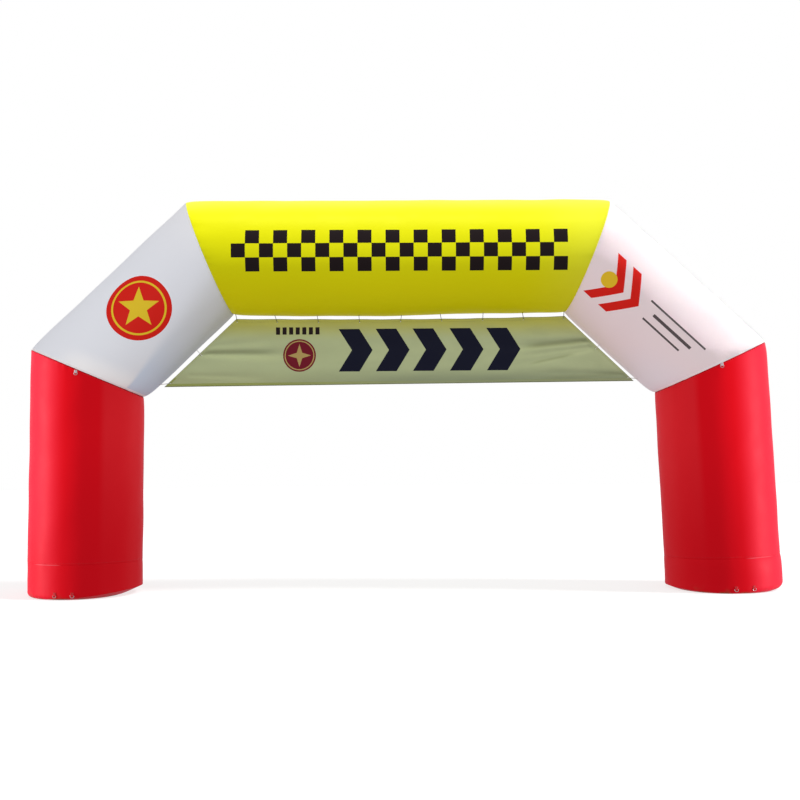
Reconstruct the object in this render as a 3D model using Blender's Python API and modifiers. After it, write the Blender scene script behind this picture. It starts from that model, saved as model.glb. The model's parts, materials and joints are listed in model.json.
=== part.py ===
"""Inflatable finish arch for road races, in metres, +Z up, its front facing -Y.

Five round sleeves of coated cloth stand as one arch: two upright legs on feet, two
sloping shoulders and a level crossbar. A thin banner fills the upper opening, tied to
the sleeves by short loops of cord. Webbing tabs with D-rings sit on the leg seams for
guy ropes, and along the feet for pegs. Each sleeve is one filled solid.
"""

import math

import bmesh
import bpy
from mathutils import Matrix, Vector

# Clearance that separates pieces which touch in the real object.
GAP = 0.0003

# The arch's centre line, as (x, z) points from the left foot to the right one.
CENTRE_LINE = {
    "foot_left": (-3.413, 0.000),
    "knee_left": (-3.406, 2.357),
    "elbow_left": (-2.092, 3.612),
    "elbow_right": (2.023, 3.600),
    "knee_right": (3.328, 2.384),
    "foot_right": (3.405, 0.000),
}

# Full radius of each kind of sleeve, and the smaller radius where its seams draw it in.
LEG_RADIUS = 0.587
SHOULDER_RADIUS = 0.601
CROSSBAR_RADIUS = 0.615
FOOT_RADIUS = {"left": 0.588, "right": 0.602}
SEAM_RADIUS = {
    "knee_left": 0.583,
    "elbow_left": 0.599,
    "elbow_right": 0.599,
    "knee_right": 0.583,
    "band_left": 0.583,
    "band_right": 0.583,
}

# How far each mitre's outer corner rounds off, and how far along a sleeve a seam pulls.
CORNER_DRAW = {
    "knee_left": 0.006,
    "elbow_left": 0.008,
    "elbow_right": 0.018,
    "knee_right": 0.022,
}
SEAM_REACH = 0.055
SAG_SKEW = 1.15

# How far each mitre leans, as a slope: a knee seam is higher at the front than behind.
SEAM_TILT = {
    "knee_left": 0.026,
    "elbow_left": 0.0,
    "elbow_right": 0.0,
    "knee_right": 0.018,
}
CROSSBAR_SAG = 0.024

# Feet: the band below the leg's lowest seam. Its lower edge is round on the arch's outer
# side and crisp on its inner side, where it lifts off the ground.
FOOT_HEIGHT = 0.355
OUTER_EDGE_RADIUS = {"left": 0.050, "right": 0.075}
INNER_EDGE_RADIUS = 0.006
EDGE_LIFT = {"left": 0.085, "right": 0.055}
LIFT_POWER = {"left": 2.5, "right": 4.0}
BASE_MARGIN = 0.02
BASE_RUN_PER_LIFT = 2.2
EDGE_STEPS = 4
FOOT_RINGS = (0.45, 0.72, 0.9, 1.0)

SLEEVE_SIDES = 40
SLEEVE_RINGS = (0.0, 0.015, 0.05, 0.12, 0.28, 0.5, 0.72, 0.88, 0.95, 0.985, 1.0)

# Banner: corners as (x, z), in the plane y = 0.
BANNER_TOP_LEFT = (-1.806, 2.932)
BANNER_TOP_RIGHT = (1.770, 2.936)
BANNER_BOTTOM_LEFT = (-2.567, 2.220)
BANNER_BOTTOM_RIGHT = (2.497, 2.240)
BANNER_THICKNESS = 0.002
BANNER_ROWS = (0.0, 0.05, 0.2, 0.35, 0.5, 0.65, 0.8, 0.95, 1.0)
COLUMNS_PER_SPAN = 4
SIDE_HEM_SHARE = 0.010
BANNER_SAG = 0.026
SCALLOP = 0.007
FOLD_DEPTH = 0.012
FLAT_MARGIN = 0.05

# Ties: a loop of cord through a hole in the banner's hem, both ends sewn to a sleeve.
TIE_DIAMETER = 0.006
TIE_CLEARANCE = 0.0006
TOP_TIES = 9
HOLE_INSET = 0.024
HOLE_RADIUS = 0.0046
TOP_TIE_LEANS = (-0.012, -0.022, -0.012, -0.006, 0.008, -0.012, 0.004, -0.010, 0.004)
SIDE_TIE_PLACE = {"left": 0.515, "right": 0.48}
CORNER_TIE_DROP = 0.10
CORNER_TIE_INSET = 0.05

# Webbing tab, and the D-ring that hangs in it.
WEBBING_WIDTH = 0.030
WEBBING_THICKNESS = 0.0016
TAIL_LENGTH = 0.030
NECK_LENGTH = 0.010
LOOP_STEP = 30
RING_WIRE = 0.005
RING_INNER_WIDTH = 0.032
RING_SHOULDER = 0.004
KNEE_TAB_DROP = 0.026
PEG_TAB_HEIGHT = 0.052

# Which flat of the sleeve each tab is sewn to, counted from the arch's outside to its front.
GUY_TAB_FACET = 10.5
PEG_TAB_FACETS = (8.5, 10.5)

RED = (0.72, 0.012, 0.025)
WHITE = (0.80, 0.80, 0.82)
YELLOW = (0.90, 0.84, 0.01)
OLIVE = (0.36, 0.37, 0.14)
CORD_GREY = (0.12, 0.12, 0.12)
WEBBING_WHITE = (0.75, 0.72, 0.72)
STEEL = (0.60, 0.60, 0.62)

FRONT = Vector((0.0, -1.0, 0.0))


def clear_scene():
    """Remove what a new scene holds."""
    for scene_object in list(bpy.data.objects):
        bpy.data.objects.remove(scene_object, do_unlink=True)


def new_collection(name):
    """Return a new collection, linked to the scene."""
    collection = bpy.data.collections.new(name)
    bpy.context.scene.collection.children.link(collection)
    return collection


def new_material(name, colour, roughness, metallic=0.0):
    """Return a Principled material."""
    material = bpy.data.materials.new(name)
    material.use_nodes = True
    shader = material.node_tree.nodes["Principled BSDF"]
    shader.inputs["Base Color"].default_value = (*colour, 1.0)
    shader.inputs["Roughness"].default_value = roughness
    shader.inputs["Metallic"].default_value = metallic
    material.diffuse_color = (*colour, 1.0)
    return material


def add_object(name, data, collection, carrier, look=None):
    """Link one object under the arch's empty and give it a material of its own."""
    piece = bpy.data.objects.new(name, data)
    collection.objects.link(piece)
    piece.parent = carrier
    if look is not None:
        data.materials.append(new_material(name, *look))
    return piece


def point_on(name):
    """Return a named point of the centre line."""
    x, z = CENTRE_LINE[name]
    return Vector((x, 0.0, z))


def direction(start, end):
    """Return the unit vector from one named point to another."""
    return (point_on(end) - point_on(start)).normalized()


def outward_from(axis, side):
    """Return the direction across a leg's axis that points away from the arch."""
    outside = Vector((-axis.z, 0.0, axis.x))
    return outside if side == "left" else -outside


def mitre_normal(before, joint, after):
    """Return the normal of the plane that halves the bend at a joint, with its lean."""
    across = (direction(before, joint) + direction(joint, after)).normalized()
    lean = FRONT * (SEAM_TILT[joint] if across.z > 0.0 else -SEAM_TILT[joint])
    return (across - lean).normalized()


class SleeveEnd:
    """A cut across a sleeve: a plane, the radius there and its drawn-in outer corner.

    Angles run round the sleeve from the arch's outer side, and a quarter turn is its front.
    """

    def __init__(self, point, normal, radius, corner_draw=0.0):
        self.point = point
        self.normal = normal
        self.radius = radius
        self.corner_draw = corner_draw

    def radius_at(self, angle):
        """Return the cut's radius at an angle."""
        outward = max(0.0, math.cos(angle))
        return self.radius - self.corner_draw * outward ** 4

    def reach(self, axis, radial, angle):
        """Return how far along the axis a line at this angle meets the plane."""
        slope = radial.dot(self.normal) / axis.dot(self.normal)
        return -self.radius_at(angle) * slope


def drawn_radius(full, end, angle, distance):
    """Return how much a seam takes off the radius at a distance from it."""
    return (full - end.radius_at(angle)) * math.exp(-distance / SEAM_REACH)


def ringed_cylinder(shares):
    """Return a unit cylinder with a ring of vertices at each share of its height."""
    shape = bmesh.new()
    bmesh.ops.create_cone(shape, cap_ends=True, cap_tris=False, segments=SLEEVE_SIDES,
                          radius1=1.0, radius2=1.0, depth=1.0)
    for share in shares[1:-1]:
        bmesh.ops.bisect_plane(shape, geom=shape.verts[:] + shape.edges[:] + shape.faces[:],
                               plane_co=(0.0, 0.0, share - 0.5), plane_no=(0.0, 0.0, 1.0))
    return shape


def finished_mesh(name, shape):
    """Return a smooth mesh from a sleeve's shape, sharp at its rims."""
    mesh = bpy.data.meshes.new(name)
    shape.to_mesh(mesh)
    shape.free()
    mesh.shade_smooth()
    mesh.set_sharp_from_angle(angle=math.radians(35.0))
    return mesh


def sleeve_mesh(name, start, end, full_radius, sag=0.0):
    """Loft a round sleeve between two cuts, from a ringed cylinder."""
    shape = ringed_cylinder(SLEEVE_RINGS)
    span = end.point - start.point
    axis = span.normalized()
    outside = Vector((-axis.z, 0.0, axis.x))
    for corner in shape.verts:
        angle = math.atan2(corner.co.y, corner.co.x)
        share = corner.co.z + 0.5
        radial = outside * math.cos(angle) + FRONT * math.sin(angle)
        low = start.reach(axis, radial, angle)
        high = span.length + end.reach(axis, radial, angle)
        along = low + (high - low) * share
        radius = full_radius
        radius -= drawn_radius(full_radius, start, angle, along - low)
        radius -= drawn_radius(full_radius, end, angle, high - along)
        radius += sag * sag_share(share) * max(0.0, -math.cos(angle))
        corner.co = start.point + axis * along + radial * radius
    return finished_mesh(name, shape)


def sag_share(share):
    """Return how a level edge sags along its length: most in its left half."""
    return math.sin(math.pi * share) * (1.0 - SAG_SKEW * share)


def foot_profile(side, angle):
    """Return a foot's section as (radius, height) pairs, up from its flat base."""
    full = FOOT_RADIUS[side]
    outward = (1.0 + math.cos(angle)) / 2
    edge = INNER_EDGE_RADIUS + (OUTER_EDGE_RADIUS[side] - INNER_EDGE_RADIUS) * outward
    lift = EDGE_LIFT[side] * (1.0 - outward) ** LIFT_POWER[side]
    pairs = [(full - edge - BASE_MARGIN - BASE_RUN_PER_LIFT * lift, 0.0)]
    for step in range(EDGE_STEPS + 1):
        turn = math.pi / 2 * step / EDGE_STEPS
        pairs.append((full - edge + edge * math.sin(turn),
                      lift + edge * (1.0 - math.cos(turn))))
    for share in FOOT_RINGS:
        height = FOOT_HEIGHT * share
        drawn = (full - SEAM_RADIUS["band_" + side])
        drawn *= math.exp(-(FOOT_HEIGHT - height) / SEAM_REACH)
        pairs.append((full - drawn, height))
    return pairs


def foot_mesh(name, side):
    """Loft a foot from its flat base up to the seam under the leg."""
    ring_count = len(FOOT_RINGS) + EDGE_STEPS + 2
    shape = ringed_cylinder([ring / (ring_count - 1) for ring in range(ring_count)])
    base = point_on("foot_" + side)
    axis = direction("foot_" + side, "knee_" + side)
    outside = outward_from(axis, side)
    up = Vector((0.0, 0.0, 1.0))
    for corner in shape.verts:
        turn = math.atan2(corner.co.y, corner.co.x)
        angle = turn if side == "left" else math.pi - turn
        radial = outside * math.cos(angle) + FRONT * math.sin(angle)
        ring = round((corner.co.z + 0.5) * (ring_count - 1))
        radius, height = foot_profile(side, angle)[ring]
        if height == 0.0:
            flat = Vector((radial.x, radial.y, 0.0)).normalized()
            corner.co = base + flat * radius
        elif ring == ring_count - 1:
            corner.co = base + axis * (height - GAP / 2) + radial * radius
        else:
            share = height / FOOT_HEIGHT
            corner.co = base + up.lerp(axis, share) * height + radial * radius
    return finished_mesh(name, shape)


def joint_end(before, joint, after, way):
    """Return a sleeve's cut at a mitre, half a clearance before or after it."""
    normal = mitre_normal(before, joint, after)
    return SleeveEnd(point_on(joint) + normal * (way * GAP / 2), normal,
                     SEAM_RADIUS[joint], CORNER_DRAW[joint])


def band_end(side):
    """Return a leg's cut at the seam above its foot, half a clearance over it."""
    axis = direction("foot_" + side, "knee_" + side)
    normal = axis if side == "left" else -axis
    point = point_on("foot_" + side) + axis * (FOOT_HEIGHT + GAP / 2)
    return SleeveEnd(point, normal, SEAM_RADIUS["band_" + side])


def build_sleeves(collection, carrier):
    """Make the legs, shoulders and crossbar, from left to right, and the feet."""
    red_cloth = (RED, 0.45)
    white_cloth = (WHITE, 0.45)
    yellow_cloth = (YELLOW, 0.45)
    path = list(CENTRE_LINE)
    ends = {}
    for before, joint, after in zip(path, path[1:], path[2:]):
        ends[joint] = [joint_end(before, joint, after, way) for way in (-1, 1)]
    runs = (
        ("leg_left", band_end("left"), ends["knee_left"][0], LEG_RADIUS, red_cloth),
        ("shoulder_left", ends["knee_left"][1], ends["elbow_left"][0], SHOULDER_RADIUS,
         white_cloth),
        ("crossbar", ends["elbow_left"][1], ends["elbow_right"][0], CROSSBAR_RADIUS,
         yellow_cloth),
        ("shoulder_right", ends["elbow_right"][1], ends["knee_right"][0], SHOULDER_RADIUS,
         white_cloth),
        ("leg_right", ends["knee_right"][1], band_end("right"), LEG_RADIUS, red_cloth),
    )
    sleeves = {}
    for name, start, end, radius, look in runs:
        sag = CROSSBAR_SAG if name == "crossbar" else 0.0
        mesh = sleeve_mesh(name, start, end, radius, sag)
        sleeves[name] = add_object(name, mesh, collection, carrier, look)
    for side in ("left", "right"):
        name = "foot_" + side
        sleeves[name] = add_object(name, foot_mesh(name, side), collection, carrier,
                                   red_cloth)
    bpy.context.view_layer.update()
    return sleeves


def mix(first, second, share):
    """Return the point a share of the way from one (x, z) pair to another."""
    return Vector((first[0] + (second[0] - first[0]) * share, 0.0,
                   first[1] + (second[1] - first[1]) * share))


def top_drop(across):
    """Return how far the banner's top edge hangs below the line between its corners."""
    spans = TOP_TIES - 1
    scallop = SCALLOP * math.sin(math.pi * across * spans) ** 2
    return BANNER_SAG * sag_share(across) + scallop


def banner_point(across, up):
    """Return the banner's point at shares of its width and height, before its folds."""
    low = mix(BANNER_BOTTOM_LEFT, BANNER_BOTTOM_RIGHT, across)
    high = mix(BANNER_TOP_LEFT, BANNER_TOP_RIGHT, across)
    high.z -= top_drop(across)
    return low.lerp(high, up)


def fold_offset(across, up):
    """Return how far the cloth stands forward: soft folds fan in from the side ties."""
    height = BANNER_TOP_LEFT[1] - BANNER_BOTTOM_LEFT[1]
    width = (banner_point(1.0, up) - banner_point(0.0, up)).length
    margin = min(up * height, (1.0 - up) * height, across * width, (1.0 - across) * width)
    share = min(1.0, max(0.0, (margin - FLAT_MARGIN) / (2.0 * FLAT_MARGIN)))
    rise = share * share * (3.0 - 2.0 * share)
    spread = 0.14 + 0.22 * math.sin(math.pi * across)
    fan = (up - 0.5) / spread
    return -FOLD_DEPTH * rise * math.exp(-fan * fan) * math.cos(2.2 * fan)


def banner_columns():
    """Return the banner's column places as shares: one close to each side for the hem."""
    count = COLUMNS_PER_SPAN * (TOP_TIES - 1)
    inner = [column / count for column in range(1, count)]
    return [0.0, SIDE_HEM_SHARE, *inner, 1.0 - SIDE_HEM_SHARE, 1.0]


def build_banner(collection, cutters, carrier):
    """Make the banner: a folded sheet given its thickness, with a hole for each tie."""
    columns = banner_columns()
    last_column = len(columns) - 1
    last_row = len(BANNER_ROWS) - 1
    shape = bmesh.new()
    bmesh.ops.create_grid(shape, x_segments=last_column, y_segments=last_row, size=0.5)
    for corner in shape.verts:
        across = columns[round((corner.co.x + 0.5) * last_column)]
        up = BANNER_ROWS[round((corner.co.y + 0.5) * last_row)]
        corner.co = banner_point(across, up)
        corner.co.y = fold_offset(across, up)
    mesh = bpy.data.meshes.new("banner")
    shape.to_mesh(mesh)
    shape.free()
    mesh.shade_smooth()
    banner = add_object("banner", mesh, collection, carrier, (OLIVE, 0.7))
    thicken = banner.modifiers.new("Thickness", "SOLIDIFY")
    thicken.thickness = BANNER_THICKNESS
    thicken.offset = 0.0
    holes = build_hole_cutters(cutters, carrier)
    cut = banner.modifiers.new("Tie holes", "BOOLEAN")
    cut.operation = "DIFFERENCE"
    cut.object = holes
    return banner


def hole_places():
    """Return each tie's name, the banner hole it passes and the way it pulls."""
    places = []
    left = mix(BANNER_TOP_LEFT, BANNER_TOP_RIGHT, 0.0)
    right = mix(BANNER_TOP_LEFT, BANNER_TOP_RIGHT, 1.0)
    for number, lean in enumerate(TOP_TIE_LEANS, start=1):
        share = (number - 1) / (TOP_TIES - 1)
        hole = left.lerp(right, share) - Vector((0.0, 0.0, HOLE_INSET + top_drop(share)))
        if number in (1, TOP_TIES):
            hole.x += HOLE_INSET * (0.45 if number == 1 else -0.45)
        pull = Vector((lean, 0.0, 0.06))
        places.append((f"tie_top_{number}", hole, pull.normalized()))
    for side, top, bottom in (("left", BANNER_TOP_LEFT, BANNER_BOTTOM_LEFT),
                              ("right", BANNER_TOP_RIGHT, BANNER_BOTTOM_RIGHT)):
        edge = (mix(top, bottom, 1.0) - mix(top, bottom, 0.0)).normalized()
        outward = Vector((edge.z, 0.0, -edge.x))
        if outward.z < 0.0:
            outward.negate()
        hole = mix(top, bottom, SIDE_TIE_PLACE[side]) - outward * HOLE_INSET
        places.append((f"tie_side_{side}", hole, outward))
        away = -1.0 if side == "left" else 1.0
        hole = mix(bottom, bottom, 0.0)
        hole += Vector((-away * CORNER_TIE_INSET, 0.0, HOLE_INSET))
        pull = Vector((away, 0.0, -CORNER_TIE_DROP)).normalized()
        places.append((f"tie_corner_{side}", hole, pull))
    return places


def build_hole_cutters(cutters, carrier):
    """Make one mesh of short pins across the banner, where the ties pass through."""
    shape = bmesh.new()
    for _name, hole, _pull in hole_places():
        place = Matrix.Translation(hole) @ Matrix.Rotation(math.pi / 2, 4, "X")
        bmesh.ops.create_cone(shape, cap_ends=True, segments=10, radius1=HOLE_RADIUS,
                              radius2=HOLE_RADIUS, depth=0.02, matrix=place)
    mesh = bpy.data.meshes.new("hole_cutters")
    shape.to_mesh(mesh)
    shape.free()
    pins = add_object("hole_cutters", mesh, cutters, carrier)
    pins.hide_render = True
    pins.display_type = "WIRE"
    return pins


def strand_end(sleeves, origin, heading):
    """Return where a strand ends: its flat end just clear of the nearest sleeve."""
    hits = []
    for sleeve in sleeves.values():
        found, place, normal, _face = sleeve.ray_cast(origin, heading)
        if found:
            facing = abs(heading.dot(normal))
            tilt = math.sqrt(max(0.0, 1.0 - facing * facing)) / facing
            free = (place - origin).length - GAP - TIE_DIAMETER / 2 * tilt
            hits.append(free)
    return origin + heading * min(hits)


def build_tie(name, hole, pull, sleeves, collection, carrier):
    """Make one tie: from the sleeve, through the hem's hole and back up behind."""
    radius = TIE_DIAMETER / 2
    offset = radius + BANNER_THICKNESS / 2 + TIE_CLEARANCE
    turn_centre = hole + pull * offset
    ends = {}
    for side in (-1.0, 1.0):
        strand = turn_centre + FRONT * (side * offset)
        ends[side] = strand_end(sleeves, strand, pull)
    route = [ends[1.0]]
    for step in range(7):
        turn = math.pi * step / 6
        route.append(turn_centre + FRONT * (offset * math.cos(turn))
                     - pull * (offset * math.sin(turn)))
    route.append(ends[-1.0])
    curve = bpy.data.curves.new(name, "CURVE")
    curve.dimensions = "3D"
    curve.bevel_depth = radius
    curve.bevel_resolution = 1
    curve.use_fill_caps = True
    spline = curve.splines.new("POLY")
    spline.points.add(len(route) - 1)
    for spline_point, place in zip(spline.points, route):
        spline_point.co = (*place, 1.0)
    add_object(name, curve, collection, carrier, (CORD_GREY, 0.8))


def arc(centre, radius, start, end, steps):
    """Return points along an arc in a plane, its angles in degrees."""
    points = []
    for step in range(steps + 1):
        angle = math.radians(start + (end - start) * step / steps)
        points.append((centre[0] + radius * math.cos(angle),
                       centre[1] + radius * math.sin(angle)))
    return points


def add_outline(curve, points):
    """Add one closed straight-sided outline to a flat curve."""
    spline = curve.splines.new("POLY")
    spline.points.add(len(points) - 1)
    for spline_point, (x, y) in zip(spline.points, points):
        spline_point.co = (x, y, 0.0, 1.0)
    spline.use_cyclic_u = True


def loop_radii():
    """Return the inner and outer radius of a tab's loop round the ring's bar."""
    inner = (RING_WIRE / 2 + GAP) / math.cos(math.radians(LOOP_STEP / 2))
    return inner, inner + WEBBING_THICKNESS


def tab_curve(name):
    """Return a folded webbing tab: local x off the sleeve, y up the tab, z its width."""
    loop_inner, loop_outer = loop_radii()
    bar = (GAP + loop_outer, 0.0)
    doubled = GAP + 2 * WEBBING_THICKNESS
    outer = [(GAP, TAIL_LENGTH), *arc(bar, loop_outer, 180, 375, 8),
             (doubled, NECK_LENGTH), (doubled, TAIL_LENGTH)]
    inner = [(GAP + WEBBING_THICKNESS, NECK_LENGTH - WEBBING_THICKNESS),
             *arc(bar, loop_inner, 165, 375, 210 // LOOP_STEP)]
    curve = bpy.data.curves.new(name, "CURVE")
    curve.dimensions = "2D"
    curve.fill_mode = "BOTH"
    curve.extrude = WEBBING_WIDTH / 2
    add_outline(curve, outer)
    add_outline(curve, inner)
    return curve


def ring_curve(name):
    """Return a D-ring: a straight bar in the tab's loop and a half round below it."""
    stand_off = GAP + loop_radii()[1]
    half = (RING_INNER_WIDTH + RING_WIRE) / 2
    outline = [(half, 0.0)] + arc((0.0, -RING_SHOULDER), half, 0, -180, 8) + [(-half, 0.0)]
    curve = bpy.data.curves.new(name, "CURVE")
    curve.dimensions = "3D"
    curve.bevel_depth = RING_WIRE / 2
    curve.bevel_resolution = 1
    spline = curve.splines.new("POLY")
    spline.points.add(len(outline) - 1)
    for spline_point, (across, up) in zip(spline.points, outline):
        spline_point.co = (stand_off, up, across, 1.0)
    spline.use_cyclic_u = True
    return curve


def build_tab_and_ring(label, sleeve, side, angle, height, collection, carrier):
    """Sew a tab to a sleeve's flank, with its ring hanging below it."""
    leg_axis = direction("foot_" + side, "knee_" + side)
    outside = outward_from(leg_axis, side)
    radial = outside * math.cos(angle) + FRONT * math.sin(angle)
    centre = point_on("foot_" + side) + leg_axis * height
    _found, place, normal, _face = sleeve.ray_cast(centre + radial, -radial)
    up = (leg_axis - normal * leg_axis.dot(normal)).normalized()
    across = normal.cross(up)
    origin = place - up * (TAIL_LENGTH / 2)
    frame = Matrix((normal, up, across)).transposed().to_4x4()
    frame.translation = origin
    tab = add_object("tab_" + label, tab_curve("tab_" + label), collection, carrier,
                     (WEBBING_WHITE, 0.8))
    ring = add_object("ring_" + label, ring_curve("ring_" + label), collection, carrier,
                      (STEEL, 0.3, 1.0))
    tab.matrix_local = frame
    ring.matrix_local = frame


def knee_height(side, angle):
    """Return how far up the leg's axis the knee seam lies, at an angle on the leg."""
    foot = "foot_" + side
    knee = "knee_" + side
    axis = direction(foot, knee)
    normal = mitre_normal(foot, knee, "elbow_" + side)
    outside = outward_from(axis, side)
    radial = outside * math.cos(angle) + FRONT * math.sin(angle)
    slope = radial.dot(normal) / axis.dot(normal)
    return (point_on(knee) - point_on(foot)).length - SEAM_RADIUS[knee] * slope


def build_tabs(sleeves, collection, carrier):
    """Make the guy tab under each knee seam and the peg tabs on each foot."""
    facet = 2.0 * math.pi / SLEEVE_SIDES
    peg_places = (("outer", PEG_TAB_FACETS[0] * facet), ("inner", PEG_TAB_FACETS[1] * facet))
    guy_angle = GUY_TAB_FACET * facet
    for side in ("left", "right"):
        height = knee_height(side, guy_angle) - KNEE_TAB_DROP
        build_tab_and_ring(f"guy_{side}", sleeves["leg_" + side], side, guy_angle,
                           height, collection, carrier)
        for place, angle in peg_places:
            build_tab_and_ring(f"peg_{side}_{place}", sleeves["foot_" + side], side, angle,
                               PEG_TAB_HEIGHT + TAIL_LENGTH / 2, collection, carrier)


def centre_on_base(collection, carrier):
    """Move the arch so that the origin is the bottom centre of its box."""
    bpy.context.view_layer.update()
    graph = bpy.context.evaluated_depsgraph_get()
    corners = []
    for piece in collection.objects:
        evaluated = piece.evaluated_get(graph)
        mesh = evaluated.to_mesh()
        corners += [piece.matrix_world @ vertex.co for vertex in mesh.vertices]
        evaluated.to_mesh_clear()
    for axis in (0, 1):
        values = [corner[axis] for corner in corners]
        carrier.location[axis] = -(min(values) + max(values)) / 2
    carrier.location.z = -min(corner.z for corner in corners)


def main():
    """Build the whole arch."""
    clear_scene()
    arch = new_collection("inflatable_arch")
    cutters = new_collection("cutters")
    carrier = bpy.data.objects.new("arch_origin", None)
    bpy.context.scene.collection.objects.link(carrier)
    sleeves = build_sleeves(arch, carrier)
    build_banner(arch, cutters, carrier)
    for name, hole, pull in hole_places():
        build_tie(name, hole, pull, sleeves, arch, carrier)
    build_tabs(sleeves, arch, carrier)
    centre_on_base(arch, carrier)


main()
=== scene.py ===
from functools import partialmethod
import json
import math

import bmesh
import bpy
import numpy as np
from mathutils import Matrix, Vector

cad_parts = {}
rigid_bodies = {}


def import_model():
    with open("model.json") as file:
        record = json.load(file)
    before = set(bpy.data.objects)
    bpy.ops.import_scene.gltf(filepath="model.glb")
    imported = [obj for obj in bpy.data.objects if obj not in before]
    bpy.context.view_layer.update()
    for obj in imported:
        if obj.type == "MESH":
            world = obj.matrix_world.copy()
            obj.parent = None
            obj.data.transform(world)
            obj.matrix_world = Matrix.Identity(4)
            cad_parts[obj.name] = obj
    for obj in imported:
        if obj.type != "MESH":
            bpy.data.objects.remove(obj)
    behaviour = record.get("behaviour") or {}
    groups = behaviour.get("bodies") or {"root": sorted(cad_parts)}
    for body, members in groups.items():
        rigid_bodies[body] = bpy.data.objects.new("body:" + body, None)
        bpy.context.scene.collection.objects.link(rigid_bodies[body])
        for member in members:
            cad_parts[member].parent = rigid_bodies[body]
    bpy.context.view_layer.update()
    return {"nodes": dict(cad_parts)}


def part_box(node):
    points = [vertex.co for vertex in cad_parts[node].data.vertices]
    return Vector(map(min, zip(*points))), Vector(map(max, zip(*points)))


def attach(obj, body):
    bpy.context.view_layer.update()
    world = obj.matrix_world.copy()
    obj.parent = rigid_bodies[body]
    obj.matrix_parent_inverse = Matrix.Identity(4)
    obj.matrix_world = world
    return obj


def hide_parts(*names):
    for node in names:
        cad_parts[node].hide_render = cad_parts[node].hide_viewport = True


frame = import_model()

# Looks of an inflatable race arch: taut coated cloth, sewn seams, a thin banner on cords,
# webbing tabs with D-rings. Metres, +Z up, the arch's front faces -Y.

# ---------------------------------------------------------------- driving sizes

CENTRE_LINE = {
    "foot_left": (-3.413, 0.000),
    "knee_left": (-3.406, 2.357),
    "elbow_left": (-2.092, 3.612),
    "elbow_right": (2.023, 3.600),
    "knee_right": (3.328, 2.369),
    "foot_right": (3.405, 0.000),
}
LEG_RADIUS = 0.587
SHOULDER_RADIUS = 0.601
CROSSBAR_RADIUS = 0.615
FOOT_RADIUS = {"left": 0.588, "right": 0.602}
BAND_RADIUS = LEG_RADIUS - 0.001
ELBOW_RADIUS = 0.599
KNEE_RADIUS = 0.583
CORNER_DRAW = {"knee_left": -0.003, "elbow_left": 0.0, "elbow_right": 0.002, "knee_right": -0.006}
SEAM_TILT = {"knee_left": 0.026, "elbow_left": 0.0, "elbow_right": 0.0, "knee_right": 0.018}
SEAM_REACH = 0.055
CROSSBAR_SAG = 0.024
SAG_SKEW = 1.15
CLEARANCE = 0.0003

FOOT_HEIGHT = 0.355
OUTER_EDGE_RADIUS = {"left": 0.050, "right": 0.075}
INNER_EDGE_RADIUS = 0.006
EDGE_LIFT = {"left": 0.085, "right": 0.055}
LIFT_POWER = {"left": 2.5, "right": 4.0}
BASE_MARGIN = 0.02
BASE_RUN_PER_LIFT = 2.2

# The CAD sleeves have 40 flat sides. The smooth cloth touches the middles of those flats.
CAD_SIDES = 40
INSIDE_FLATS = math.cos(math.pi / CAD_SIDES)

SEGMENTS = 320
END_STATIONS = (0.0, 0.003, 0.006, 0.010, 0.014, 0.018, 0.023, 0.030, 0.040, 0.052, 0.068,
                0.090, 0.115, 0.145)
MIDDLE_STEP = 0.045

# What a sewn seam does to the cloth beside it.
GROOVE_DEPTH = 0.00405
GROOVE_WIDTH = 0.011
LIP_HEIGHT = 0.003
LIP_PLACE = 0.020
LIP_WIDTH = 0.008
PUCKER_DEPTH = 0.0026
PUCKER_REACH = 0.045
DRAW_DEPTH = 0.0032
DRAW_REACH = 0.15
BAND_SHARE = 0.14
KNEE_SHARE = 0.36
ELBOW_SHARE = 0.30
SWELL_DEPTH = 0.0022
# The puckers' waves round a seam, and the foot's gathers: how many, the fewest and the most
# crests that one has.
FINE_WAVES = (9, 34, 56)
COARSE_WAVES = (7, 11, 24)
ENVELOPE_WAVES = (4, 2, 7)
HEM_WAVES = (8, 16, 44)
# How unevenly the puckers are spread, and how they crowd on a bend's inner side.
LOOSENESS = 0.5
CROWDING = 1.6
CROWDING_POWER = 6
CALM_RADIUS = 0.05
MIDDLE_REACH = 0.12

# How much fuller each sleeve stands on its outer and its inner side, in metres.
FULLNESS = {"leg_left": (0.0, 0.009), "shoulder_left": (0.0, 0.020), "crossbar": (0.0, 0.0),
            "shoulder_right": (0.0, 0.020), "leg_right": (0.021, 0.0),
            "foot_left": (-0.008, 0.012), "foot_right": (0.012, -0.006)}
EVEN = (0.0, 0.0)
CROSSBAR_BELLY = 0.012
# The belly ends at this share of the crossbar, and fades over this share before it.
BELLY_END = 0.78
BELLY_FADE = 0.30

STITCH_PITCH = 0.012
STITCH_LENGTH = 0.0085
STITCH_THICKNESS = 0.0017
STITCH_ROW = 0.017
# The pattern's u at the corners of a stitch's faces.
STITCH_PATTERN = (0.0, 0.0, 0.002, 0.002)
STITCH_SIDES = 5
# Each ring of a stitch: its share of the length, its lift and its size.
STITCH_RINGS = ((0.0, -0.4, 0.45), (0.25, 0.5, 1.0), (0.75, 0.5, 1.0), (1.0, -0.4, 0.45))

BANNER_TOP_LEFT = (-1.806, 2.941)
BANNER_TOP_RIGHT = (1.770, 2.946)
BANNER_BOTTOM_LEFT = (-2.583, 2.205)
BANNER_BOTTOM_RIGHT = (2.508, 2.229)
BANNER_THICKNESS = 0.0012
BANNER_SAG = 0.017
BANNER_SAG_SKEW = 1.25
SCALLOP = 0.003
TOP_SPANS = 8
HEM_WIDTH = 0.034
HOLE_RADIUS = 0.0044
HOLE_SIDES = 20
PIN_LENGTH = 0.03

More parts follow.
